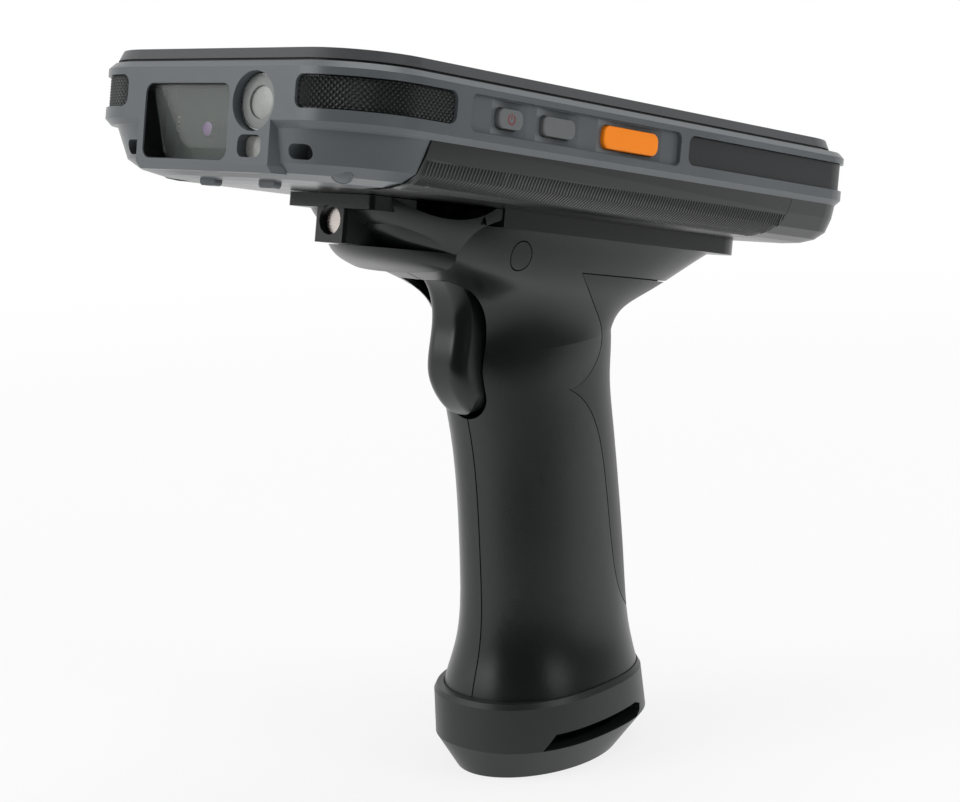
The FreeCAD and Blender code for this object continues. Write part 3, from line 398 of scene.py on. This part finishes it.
def bezel_finish():
    """Darker grey plastic of the screen surround."""
    return moulded("bezel_satin", (0.052, 0.056, 0.059), 0.38, specular=0.45)


def housing_finish():
    """Dark grey plastic of the tail and the battery door."""
    return moulded("housing_satin", (0.018, 0.02, 0.021), 0.3, specular=0.5)


def shaded_door_finish():
    """Grey plastic of the ribbed battery door, a darker copy of the housing plastic: painted shade for
    its place under the rail.
    """
    # painted shade: darker than the housing plastic to stand in for the shade under the rail
    return moulded("door_satin_shaded", (0.011, 0.0125, 0.0127), 0.28, specular=0.5)


def grip_finish():
    """Charcoal plastic of the grip and the cradle."""
    return moulded("grip_charcoal", (0.006, 0.0088, 0.0078), 0.3, specular=0.5)


def trigger_finish():
    """Smoother charcoal plastic of the trigger."""
    return moulded("trigger_charcoal", (0.0065, 0.0095, 0.0085), 0.24, grain=3200.0, depth_mm=0.006)


def pad_finish():
    """Matt rubber of the corner pads."""
    return moulded("pad_rubber", (0.02, 0.023, 0.025), 0.46, grain=1800.0, depth_mm=0.015, specular=0.45)


def knurl_finish():
    """Dark rubber of the knurled head pads."""
    return moulded("knurl_rubber", (0.007, 0.01, 0.009), 0.34, grain=1800.0, depth_mm=0.01, specular=0.5)


def pocket_shade_finish():
    """Near-black sheet of painted shade round the scan window."""
    # painted shade: this near-black colour stands in for the shade on the pocket's walls
    return moulded("pocket_shade_sheet", (0.004, 0.005, 0.0048), 0.4, depth_mm=0.005, specular=0.3)


def boot_finish():
    """Rubber of the foot and the rear pad."""
    return moulded("boot_rubber", (0.013, 0.0155, 0.015), 0.4, grain=2000.0, depth_mm=0.012, specular=0.4)


def orange_finish():
    """Bright orange plastic of the scan keys."""
    return moulded("scan_orange", (1.0, 0.26, 0.006), 0.36, depth_mm=0.006, specular=0.3, spread=0.04)


def key_finish():
    """Grey rubber of the small side keys."""
    return moulded("key_grey", (0.125, 0.133, 0.136), 0.42, depth_mm=0.008)


def mark_finish():
    """Dark red ink of the power mark."""
    return moulded("mark_red", (0.2, 0.03, 0.03), 0.5, depth_mm=0.004)


def engine_finish():
    """Moulded grey body of the scan engine."""
    return moulded("engine_grey", (0.034, 0.04, 0.037), 0.5, grain=1500.0, specular=0.3)


def screen_finish():
    """Black cover glass, its black varying in faint slow patches."""
    material, tree, shader = new_material("screen_glass")
    texture = use_group(tree, SPARK_GRAIN, Grain=300.0, Patch=9.0)
    two_tone(tree, shader, texture.outputs["Patches"], (0.004, 0.004, 0.005), (0.007, 0.007, 0.009))
    vary_roughness(tree, shader, texture.outputs["Patches"], 0.04, 0.09)
    shader.inputs["IOR"].default_value = 1.52
    shader.inputs["Coat Weight"].default_value = 0.5
    shader.inputs["Coat Roughness"].default_value = 0.03
    return material


def window_finish():
    """Tinted scan window, clear enough to show the engine."""
    material, tree, shader = new_material("window_glass")
    texture = use_group(tree, SPARK_GRAIN, Grain=300.0, Patch=60.0)
    two_tone(tree, shader, texture.outputs["Patches"], (0.62, 0.68, 0.65), (0.7, 0.75, 0.72))
    vary_roughness(tree, shader, texture.outputs["Patches"], 0.02, 0.05)
    shader.inputs["Transmission Weight"].default_value = 0.9
    shader.inputs["IOR"].default_value = 1.45
    return material


def lens_finish():
    """Coated lens of the camera; its pale grey base colour is a painted reflection of the room."""
    material, tree, shader = new_material("camera_lens")
    texture = use_group(tree, SPARK_GRAIN, Grain=400.0, Patch=160.0)
    # painted reflection: these pale grey tones stand in for the room reflected in the lens
    two_tone(tree, shader, texture.outputs["Patches"], (0.3, 0.31, 0.3), (0.34, 0.35, 0.34))
    vary_roughness(tree, shader, texture.outputs["Patches"], 0.22, 0.3)
    shader.inputs["Coat Weight"].default_value = 0.3
    shader.inputs["Coat Roughness"].default_value = 0.2
    return material


def flash_finish():
    """Smoky lens of the illumination lamp."""
    material, tree, shader = new_material("flash_lens")
    texture = use_group(tree, SPARK_GRAIN, Grain=900.0, Patch=220.0)
    two_tone(tree, shader, texture.outputs["Patches"], (0.2, 0.205, 0.195), (0.4, 0.405, 0.39))
    vary_roughness(tree, shader, texture.outputs["Patches"], 0.08, 0.16)
    shader.inputs["Coat Weight"].default_value = 1.0
    return material


def purple_finish():
    """Purple anti-reflection coating of the imager lens."""
    material, tree, shader = new_material("imager_lens")
    texture = use_group(tree, SPARK_GRAIN, Grain=900.0, Patch=300.0)
    two_tone(tree, shader, texture.outputs["Patches"], (0.62, 0.16, 0.78), (0.74, 0.26, 0.88))
    vary_roughness(tree, shader, texture.outputs["Patches"], 0.08, 0.14)
    shader.inputs["Coat Weight"].default_value = 1.0
    return material


def amber_finish():
    """Amber chips of the aiming light."""
    return moulded("aimer_amber", (0.75, 0.62, 0.2), 0.3, depth_mm=0.003)


def steel_finish(name="turned_steel", colour=(0.55, 0.5, 0.47), low=0.22, high=0.34):
    """Turned steel with fine lines."""
    material, tree, shader = new_material(name)
    lines = use_group(tree, FINE_SCRATCHES)
    dark = [c * 0.93 for c in colour]
    two_tone(tree, shader, lines.outputs["Lines"], dark, colour)
    vary_roughness(tree, shader, lines.outputs["Lines"], low, high)
    raise_grain(tree, shader, lines.outputs["Lines"], 0.0012)
    shader.inputs["Metallic"].default_value = 1.0
    return material


def ring_finish():
    """Dark anodised ring of the camera."""
    material, tree, shader = new_material("camera_ring")
    texture = use_group(tree, SPARK_GRAIN, Grain=1500.0, Patch=90.0)
    two_tone(tree, shader, texture.outputs["Patches"], (0.2, 0.208, 0.202), (0.23, 0.238, 0.232))
    vary_roughness(tree, shader, texture.outputs["Patches"], 0.26, 0.36)
    return material


def board_finish():
    """Green circuit board inside the case."""
    return moulded("circuit_board", (0.012, 0.09, 0.035), 0.4, grain=700.0, depth_mm=0.02)


def cell_finish():
    """Wrapped battery cell."""
    return moulded("cell_wrap", (0.03, 0.03, 0.034), 0.3, grain=500.0, depth_mm=0.01)


FINISHES = {
    "frame": frame_finish(),
    "bezel": bezel_finish(),
    "housing": housing_finish(),
    "door": shaded_door_finish(),
    "grip": grip_finish(),
    "trigger": trigger_finish(),
    "pad": pad_finish(),
    "knurl": knurl_finish(),
    "pocket_shade": pocket_shade_finish(),
    "boot": boot_finish(),
    "orange": orange_finish(),
    "key": key_finish(),
    "mark": mark_finish(),
    "engine": engine_finish(),
    "screen": screen_finish(),
    "window": window_finish(),
    "lens": lens_finish(),
    "flash": flash_finish(),
    "purple": purple_finish(),
    "amber": amber_finish(),
    "steel": steel_finish(),
    "dark_steel": steel_finish("blackened_steel", (0.07, 0.07, 0.07), 0.3, 0.4),
    "rim": steel_finish("camera_rim", (0.42, 0.44, 0.43), 0.24, 0.34),
    "ring": ring_finish(),
    "board": board_finish(),
    "cell": cell_finish(),
}

CAD_FINISH = {
    "frame": ["mid_frame"],
    "bezel": ["front_bezel"],
    "housing": ["back_housing"],
    "door": ["battery_door"],
    "grip": ["grip_shell_left", "grip_shell_right", "front_shroud", "cradle_plate"],
    "trigger": ["trigger"],
    "pad": ["tail_pad_right", "tail_pad_left"],
    "knurl": ["head_pad_right", "head_pad_left"],
    "boot": ["base_boot", "rear_grip_pad", "side_plug_right", "side_plug_left"],
    "orange": ["scan_key_right", "scan_key_left"],
    "key": ["power_key", "function_key", "volume_key"],
    "screen": ["touch_glass"],
    "window": ["scan_window"],
    "lens": ["camera_glass"],
    "flash": ["flash_lens"],
    "steel": ["latch_button", "latch_spring", "trigger_spring", "trigger_pin"],
    "dark_steel": ["shroud_screws", "shell_screws", "cradle_screws"],
    "ring": ["camera_ring"],
    "board": ["main_board", "key_board_right", "key_board_left", "trigger_board"],
    "cell": ["battery_pack"],
    "engine": ["scan_engine", "camera_module", "display_module", "trigger_switch", "contact_block"],
}


def dress_solids():
    """Give every solid its finish."""
    for finish, names in CAD_FINISH.items():
        for name in names:
            mesh = nodes[name].data
            mesh.materials.clear()
            mesh.materials.append(FINISHES[finish])


# Battery door

def ribbed_door():
    """The battery door with its fine upright ribs, shaped from a copy of its solid."""
    shape = bmesh.new()
    shape.from_mesh(nodes["battery_door"].data)
    bmesh.ops.remove_doubles(shape, verts=shape.verts, dist=SOLID_MERGE)
    shape.transform(TERMINAL.inverted())
    cut_across(shape, (0, 0, RIB_TOP), (0, 0, 1))
    for index in range(RIB_COUNT):
        start = RIB_START + index * RIB_PITCH
        for y in (start, start + RIB_WIDTH):
            flank = [f for f in shape.faces if on_flank(f)]
            parts = {e for f in flank for e in f.edges} | {v for f in flank for v in f.verts}
            bmesh.ops.bisect_plane(shape, geom=flank + list(parts), dist=CUT_NEAR, plane_co=(0, y, 0),
                                   plane_no=(0, 1, 0))
    ribs = [f for f in shape.faces if on_flank(f) and on_rib(f.calc_center_median().y)]
    bmesh.ops.inset_region(shape, faces=ribs, thickness=RIB_SLOPE, depth=RIB_RISE, use_even_offset=True)
    piece = make_piece("ribbed_battery_door", shape, TERMINAL, FINISHES["door"], "handset",
                       RIB_SMOOTH)
    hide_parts("battery_door")


def cut_across(shape, point, normal):
    """Cut every face by a plane, keeping both sides."""
    everything = shape.verts[:] + shape.edges[:] + shape.faces[:]
    bmesh.ops.bisect_plane(shape, geom=everything, dist=CUT_NEAR, plane_co=point, plane_no=normal)


def on_flank(face):
    """True on the door's outer flank below the smooth strip."""
    centre = face.calc_center_median()
    outward = face.normal.x * math.copysign(1.0, centre.x)
    downward = face.normal.z < FLANK_DOWNWARD
    return outward > FLANK_OUTWARD and RIB_BOTTOM < centre.z < RIB_TOP and downward


def on_rib(y):
    """True where a rib stands."""
    along = (y - RIB_START) / RIB_PITCH
    return 0.0 < along < RIB_COUNT and along % 1.0 < RIB_WIDTH / RIB_PITCH


# Knurled pads

def corner_path(along):
    """Point and outward direction on the pad's face, by length from its front end."""
    radius = HEAD_CORNER_R - PAD_INSET
    centre_x = WIDTH / 2 - HEAD_CORNER_R
    centre_y = HEAD_FACE + HEAD_CORNER_R
    straight = centre_x - PAD_START_X
    if along < straight:
        return Vector((PAD_START_X + along, HEAD_FACE + PAD_INSET, 0)), Vector((0, -1, 0))
    turn = min((along - straight) / radius, math.pi / 2)
    out = Vector((math.sin(turn), -math.cos(turn), 0))
    point = Vector((centre_x, centre_y, 0)) + out * radius
    point.y += max(0.0, along - straight - radius * math.pi / 2)
    return point, out


def knurled_strip(side, name):
    """Raised diamonds on a head corner pad, cut to its outline and bent round the corner."""
    radius = HEAD_CORNER_R - PAD_INSET
    straight = WIDTH / 2 - HEAD_CORNER_R - PAD_START_X
    length = straight + radius * math.pi / 2 + PAD_END_Y - (HEAD_FACE + HEAD_CORNER_R)
    cells = int(length / DIAMOND) + SPARE_CELLS
    diagonal = Matrix.Rotation(math.pi / 4, 3, "Z")
    shape = bmesh.new()
    bmesh.ops.create_grid(shape, x_segments=cells, y_segments=cells, size=cells * DIAMOND / 2)
    bmesh.ops.poke(shape, faces=shape.faces[:], offset=DIAMOND_RISE)
    bmesh.ops.rotate(shape, verts=shape.verts[:], cent=(0, 0, 0), matrix=diagonal)
    bmesh.ops.translate(shape, verts=shape.verts[:], vec=(length / 2, (PAD_LOW + PAD_HIGH) / 2, 0))
    for point, normal in [((0, 0, 0), (-1, 0, 0)), ((length, 0, 0), (1, 0, 0)),
                          ((0, PAD_LOW, 0), (0, -1, 0)), ((0, PAD_HIGH, 0), (0, 1, 0))]:
        everything = shape.verts[:] + shape.edges[:] + shape.faces[:]
        bmesh.ops.bisect_plane(shape, geom=everything, dist=CUT_NEAR, plane_co=point, plane_no=normal,
                               clear_outer=True)
    bmesh.ops.solidify(shape, geom=shape.faces[:], thickness=KNURL_THICK)
    for vert in shape.verts:
        point, out = corner_path(vert.co.x)
        vert.co = point + out * (vert.co.z + KNURL_SEAT) + Vector((0, 0, vert.co.y))
    bmesh.ops.scale(shape, verts=shape.verts[:], vec=(side, 1, 1))
    make_piece(name, shape, TERMINAL, FINISHES["knurl"], "handset", KNURL_SMOOTH)


# Power mark

def power_mark():
    """Broken ring with an upright bar, inlaid in the face of the power key."""
    shape = bmesh.new()
    half = MARK_LINE / 2
    profile = [(MARK_R - half, -MARK_PROUD), (MARK_R + half, -MARK_PROUD), (MARK_R + half, MARK_DEEP),
               (MARK_R - half, MARK_DEEP)]
    round_bar(shape, profile, turns=math.tau - MARK_GAP, steps=40, start=-math.pi / 2 + MARK_GAP / 2)
    cap_ends(shape)
    bevelled_block(shape, (MARK_LINE, MARK_DEEP + MARK_PROUD, MARK_BAR_LENGTH),
                   (0, (MARK_DEEP - MARK_PROUD) / 2, MARK_BAR_MIDDLE), MARK_BEVEL)
    turned = Matrix.Translation((KEY_FACE_X, POWER_Y, KEY_Z)) @ Matrix.Rotation(math.pi / 2, 4, "Z")
    make_piece("power_mark", shape, TERMINAL @ turned, FINISHES["mark"], "power_key")


# Optics

def at_head(x, z):
    """Placement of a round piece that faces out of the head."""
    return TERMINAL @ Matrix.Translation((x, 0, z))


def rounded_outline(across, upright, radius, steps=8):
    """Corner points of a rounded rectangle, going round once."""
    points = []
    for index, (x, z) in enumerate([(1, 1), (0, 1), (0, 0), (1, 0)]):
        centre_x = across[x] + (radius if x == 0 else -radius)
        centre_z = upright[z] + (radius if z == 0 else -radius)
        for step in range(steps + 1):
            turn = (index + step / steps) * math.pi / 2
            points.append((centre_x + radius * math.cos(turn), centre_z + radius * math.sin(turn)))
    return points


def pocket_shade_sheet():
    """Near-black sheet on the walls of the scan window's pocket: painted shade for its shaded walls."""
    shape = bmesh.new()
    rings = []
    for inset, y in [(SHADE_SHEET_GAP, SHADE_SHEET_FRONT), (SHADE_SHEET_GAP, SHADE_SHEET_BACK),
                     (SHADE_SHEET_GAP + SHADE_SHEET_THICK, SHADE_SHEET_BACK), (SHADE_SHEET_GAP + SHADE_SHEET_THICK, SHADE_SHEET_FRONT)]:
        across = (WINDOW_X[0] + inset, WINDOW_X[1] - inset)
        upright = (WINDOW_Z[0] + inset, WINDOW_Z[1] - inset)
        outline = rounded_outline(across, upright, WINDOW_CORNER_R - inset)
        rings.append([shape.verts.new((x, y, z)) for x, z in outline])
    for ring, after in zip(rings, rings[1:] + rings[:1]):
        for index in range(len(ring)):
            follow = (index + 1) % len(ring)
            shape.faces.new((ring[index], ring[follow], after[follow], after[index]))
    make_piece("pocket_shade_sheet", shape, TERMINAL, FINISHES["pocket_shade"], "handset")


def camera_rim():
    """Bright turned edge of the camera's ring."""
    shape = bmesh.new()
    thick = CAMERA_RIM_THICK
    front = CAMERA_FRONT - thick
    back = CAMERA_FRONT + CAMERA_RIM_SEAT
    profile = [(CAMERA_RIM_R - thick, back), (CAMERA_RIM_R - thick * 0.4, front),
               (CAMERA_RIM_R + thick * 0.2, front),
               (CAMERA_RIM_R + thick, CAMERA_FRONT - thick * 0.3), (CAMERA_RIM_R + thick, back)]
    round_bar(shape, profile, steps=72)
    make_piece("camera_rim", shape, at_head(CAMERA_X, CAMERA_Z), FINISHES["rim"], "handset")


def camera_lens():
    """Faintly domed lens in the middle of the camera's ring."""
    shape = bmesh.new()
    dome = []
    for index in range(CAMERA_DOME_STEPS + 1):
        radius = CAMERA_LENS_R * index / CAMERA_DOME_STEPS
        bulge = CAMERA_DOME * (1 - (index / CAMERA_DOME_STEPS) ** 2)
        dome.append((radius, CAMERA_LENS_EDGE - bulge))
    profile = dome + [(CAMERA_LENS_R, CAMERA_LENS_BACK), (0.0, CAMERA_LENS_BACK)]
    round_bar(shape, profile, steps=64)
    piece = make_piece("camera_lens", shape, at_head(CAMERA_X, CAMERA_Z), FINISHES["lens"], "handset")
    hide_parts("camera_glass")


def imager_lens():
    """Purple coated lens in the barrel of the scan engine."""
    shape = bmesh.new()
    front = LENS_FRONT - LENS_PROUD
    back = LENS_FRONT + LENS_THICK
    inner = LENS_R - LENS_RING
    profile = [(inner * share, front + drop) for share, drop in LENS_CURVE]
    profile += [(inner, LENS_FRONT + LENS_SEAT), (inner, back), (0.0, back)]
    round_bar(shape, profile, steps=40)
    make_piece("imager_lens", shape, at_head(LENS_X, LENS_Z), FINISHES["purple"], "handset")


def aiming_chips():
    """Row of tiny amber chips of the aiming light on the engine's face."""
    shape = bmesh.new()
    for index in range(AIMER_COUNT):
        z = AIMER_Z + (index - (AIMER_COUNT - 1) / 2) * AIMER_STEP
        bevelled_block(shape, AIMER_CHIP, (AIMER_X, SCAN_FACE - AIMER_PROUD, z), AIMER_BEVEL)
    make_piece("aiming_chips", shape, TERMINAL, FINISHES["amber"], "handset")


# Latch

def latch_thread():
    """Fine turned ridges in the mouth of the latch hole."""
    shape = bmesh.new()
    for index in range(THREAD_COUNT):
        y = LATCH_FRONT + THREAD_START + index * THREAD_PITCH
        half = THREAD_PITCH * 0.4
        root = LATCH_HOLE_R + THREAD_ROOT
        profile = [(root, y - half), (LATCH_HOLE_R - THREAD_RISE, y), (root, y + half)]
        round_bar(shape, profile, steps=48)
    make_piece("latch_thread", shape, at_head(0.0, LATCH_Z), FINISHES["grip"], "handset")


# Plugs

def surface_above(node, x, y):
    """Where a line straight up from below first meets a solid, with the way it faces."""
    shape = bmesh.new()
    shape.from_mesh(nodes[node].data)
    shape.transform(TERMINAL.inverted())
    tree = BVHTree.FromBMesh(shape)
    point, normal = tree.ray_cast(Vector((x, y, -FAR_BELOW)), Vector((0, 0, 1)))[:2]
    shape.free()
    return point, normal


def flush_plug(name, node, x, y, r, finish):
    """Flush round plug with a rim, seated on a sloped face seen from below."""
    point, normal = surface_above(node, x, y)
    shape = bmesh.new()
    profile = [(r * share, height) for share, height in PLUG_PROFILE]
    round_bar(shape, profile, steps=48)
    turned = Vector((0, -1, 0)).rotation_difference(normal).to_matrix().to_4x4()
    place = TERMINAL @ Matrix.Translation(point) @ turned
    make_piece(name, shape, place, FINISHES[finish], "handset")


# Studio

def pale_floor():
    """Plain pale floor that keeps the shadow near the foot and fades to white.

    Glossy rays see it darken toward the camera, as the room does.
    """
    material, tree, shader = new_material("studio_floor")
    shader.inputs["Base Color"].default_value = FLOOR_COLOUR
    shader.inputs["Roughness"].default_value = FLOOR_ROUGHNESS
    place = tree.nodes.new("ShaderNodeTexCoord")
    away = tree.nodes.new("ShaderNodeVectorMath")
    away.operation = "LENGTH"
    fade = tree.nodes.new("ShaderNodeMapRange")
    fade.interpolation_type = "SMOOTHSTEP"
    fade.inputs["From Min"].default_value = SHADOW_NEAR
    fade.inputs["From Max"].default_value = SHADOW_FAR
    fade.inputs["To Min"].default_value = SHADOW_FADE
    white = add_node(tree, "ShaderNodeEmission", Strength=1.0)
    path = tree.nodes.new("ShaderNodeLightPath")
    seen = tree.nodes.new("ShaderNodeMath")
    seen.operation = "MULTIPLY"
    mix = tree.nodes.new("ShaderNodeMixShader")
    toward = tree.nodes.new("ShaderNodeVectorMath")
    toward.operation = "DOT_PRODUCT"
    toward.inputs[1].default_value = BACKDROP_SIDE
    side = tree.nodes.new("ShaderNodeMapRange")
    side.interpolation_type = "SMOOTHSTEP"
    side.inputs["From Min"].default_value = -FLOOR_SIDE_FADE
    side.inputs["To Min"].default_value = ROOM_DARK
    side.inputs["From Max"].default_value = 0.0
    room = tree.nodes.new("ShaderNodeEmission")
    reflected = tree.nodes.new("ShaderNodeMixShader")
    link = tree.links.new
    link(place.outputs["Object"], toward.inputs[0])
    link(toward.outputs["Value"], side.inputs["Value"])
    link(side.outputs[0], room.inputs["Strength"])
    link(path.outputs["Is Glossy Ray"], reflected.inputs[0])
    link(mix.outputs[0], reflected.inputs[1])
    link(room.outputs[0], reflected.inputs[2])
    link(place.outputs["Object"], away.inputs[0])
    link(away.outputs["Value"], fade.inputs["Value"])
    link(fade.outputs[0], seen.inputs[0])
    link(path.outputs["Is Camera Ray"], seen.inputs[1])
    link(seen.outputs[0], mix.inputs[0])
    link(shader.outputs[0], mix.inputs[1])
    link(white.outputs[0], mix.inputs[2])
    link(reflected.outputs[0], tree.nodes["Material Output"].inputs["Surface"])
    shape = bmesh.new()
    bmesh.ops.create_grid(shape, x_segments=1, y_segments=1, size=FLOOR_SIZE / 2)
    mesh = bpy.data.meshes.new("studio_floor")
    shape.to_mesh(mesh)
    shape.free()
    mesh.materials.append(material)
    floor = bpy.data.objects.new("studio_floor", mesh)
    floor.location.z = cad_low.z - FLOOR_DROP
    bpy.context.scene.collection.objects.link(floor)


def studio_world():
    """White backdrop to the camera, a darker room behind it in reflections, soft grey light."""
    world = bpy.data.worlds.new("studio")
    world.use_nodes = True
    bpy.context.scene.world = world
    tree = world.node_tree
    link = tree.links.new
    soft = tree.nodes["Background"]
    soft.inputs["Strength"].default_value = AMBIENT
    soft.inputs["Color"].default_value = (1.0, 1.0, 1.0, 1.0)
    white = add_node(tree, "ShaderNodeBackground", Strength=1.0)
    white.inputs["Color"].default_value = (1.0, 1.0, 1.0, 1.0)
    room = tree.nodes.new("ShaderNodeBackground")
    room.inputs["Color"].default_value = (1.0, 1.0, 1.0, 1.0)
    place = tree.nodes.new("ShaderNodeTexCoord")
    toward = tree.nodes.new("ShaderNodeVectorMath")
    toward.operation = "DOT_PRODUCT"
    toward.inputs[1].default_value = BACKDROP_SIDE
    fade = tree.nodes.new("ShaderNodeMapRange")
    fade.interpolation_type = "SMOOTHSTEP"
    fade.inputs["From Min"].default_value = -ROOM_FADE
    fade.inputs["From Max"].default_value = ROOM_FADE
    fade.inputs["To Min"].default_value = ROOM_DARK
    link(place.outputs["Generated"], toward.inputs[0])
    link(toward.outputs["Value"], fade.inputs["Value"])
    link(fade.outputs[0], room.inputs["Strength"])
    path = tree.nodes.new("ShaderNodeLightPath")
    plain = tree.nodes.new("ShaderNodeMath")
    plain.operation = "MAXIMUM"
    link(path.outputs["Is Camera Ray"], plain.inputs[0])
    link(path.outputs["Is Transmission Ray"], plain.inputs[1])
    glossy = tree.nodes.new("ShaderNodeMixShader")
    link(path.outputs["Is Glossy Ray"], glossy.inputs[0])
    link(soft.outputs[0], glossy.inputs[1])
    link(room.outputs[0], glossy.inputs[2])
    mix = tree.nodes.new("ShaderNodeMixShader")
    link(plain.outputs[0], mix.inputs[0])
    link(glossy.outputs[0], mix.inputs[1])
    link(white.outputs[0], mix.inputs[2])
    link(mix.outputs[0], tree.nodes["World Output"].inputs["Surface"])


def soft_box(name, place, size, power):
    """One square soft lamp aimed at the middle of the object."""
    lamp = bpy.data.lights.new(name, "AREA")
    lamp.size = size
    lamp.energy = power
    holder = bpy.data.objects.new(name, lamp)
    holder.location = place
    toward = Vector(LAMP_AIM) - Vector(place)
    holder.rotation_euler = toward.to_track_quat("-Z", "Y").to_euler()
    bpy.context.scene.collection.objects.link(holder)


def studio_lamps():
    """A wide lamp over the left shoulder, a weaker one from the right and one above."""
    for name, place, size, power in LAMPS:
        soft_box(name, place, size, power)


def photo_camera():
    """The camera at the photograph's view."""
    data = bpy.data.cameras.new("photo_camera")
    data.lens = LENS_LENGTH
    data.sensor_width = SENSOR_WIDTH
    data.sensor_fit = "HORIZONTAL"
    camera = bpy.data.objects.new("photo_camera", data)
    axes = Matrix((CAMERA_RIGHT, -Vector(CAMERA_DOWN), -Vector(CAMERA_AHEAD))).transposed()
    camera.matrix_world = Matrix.Translation(CAMERA_PLACE) @ axes.to_4x4()
    bpy.context.scene.collection.objects.link(camera)
    bpy.context.scene.camera = camera


dress_solids()
ribbed_door()
knurled_strip(1, "knurl_right")
knurled_strip(-1, "knurl_left")
power_mark()
pocket_shade_sheet()
camera_rim()
camera_lens()
imager_lens()
aiming_chips()
latch_thread()
flush_plug("service_plug", "mid_frame", SERVICE_X, SERVICE_Y, SERVICE_R, "frame")
flush_plug("door_dimple", "battery_door", DIMPLE_X, DIMPLE_Y, DIMPLE_R, "door")
pale_floor()
studio_world()
studio_lamps()
photo_camera()
bpy.context.scene.view_settings.view_transform = "Standard"
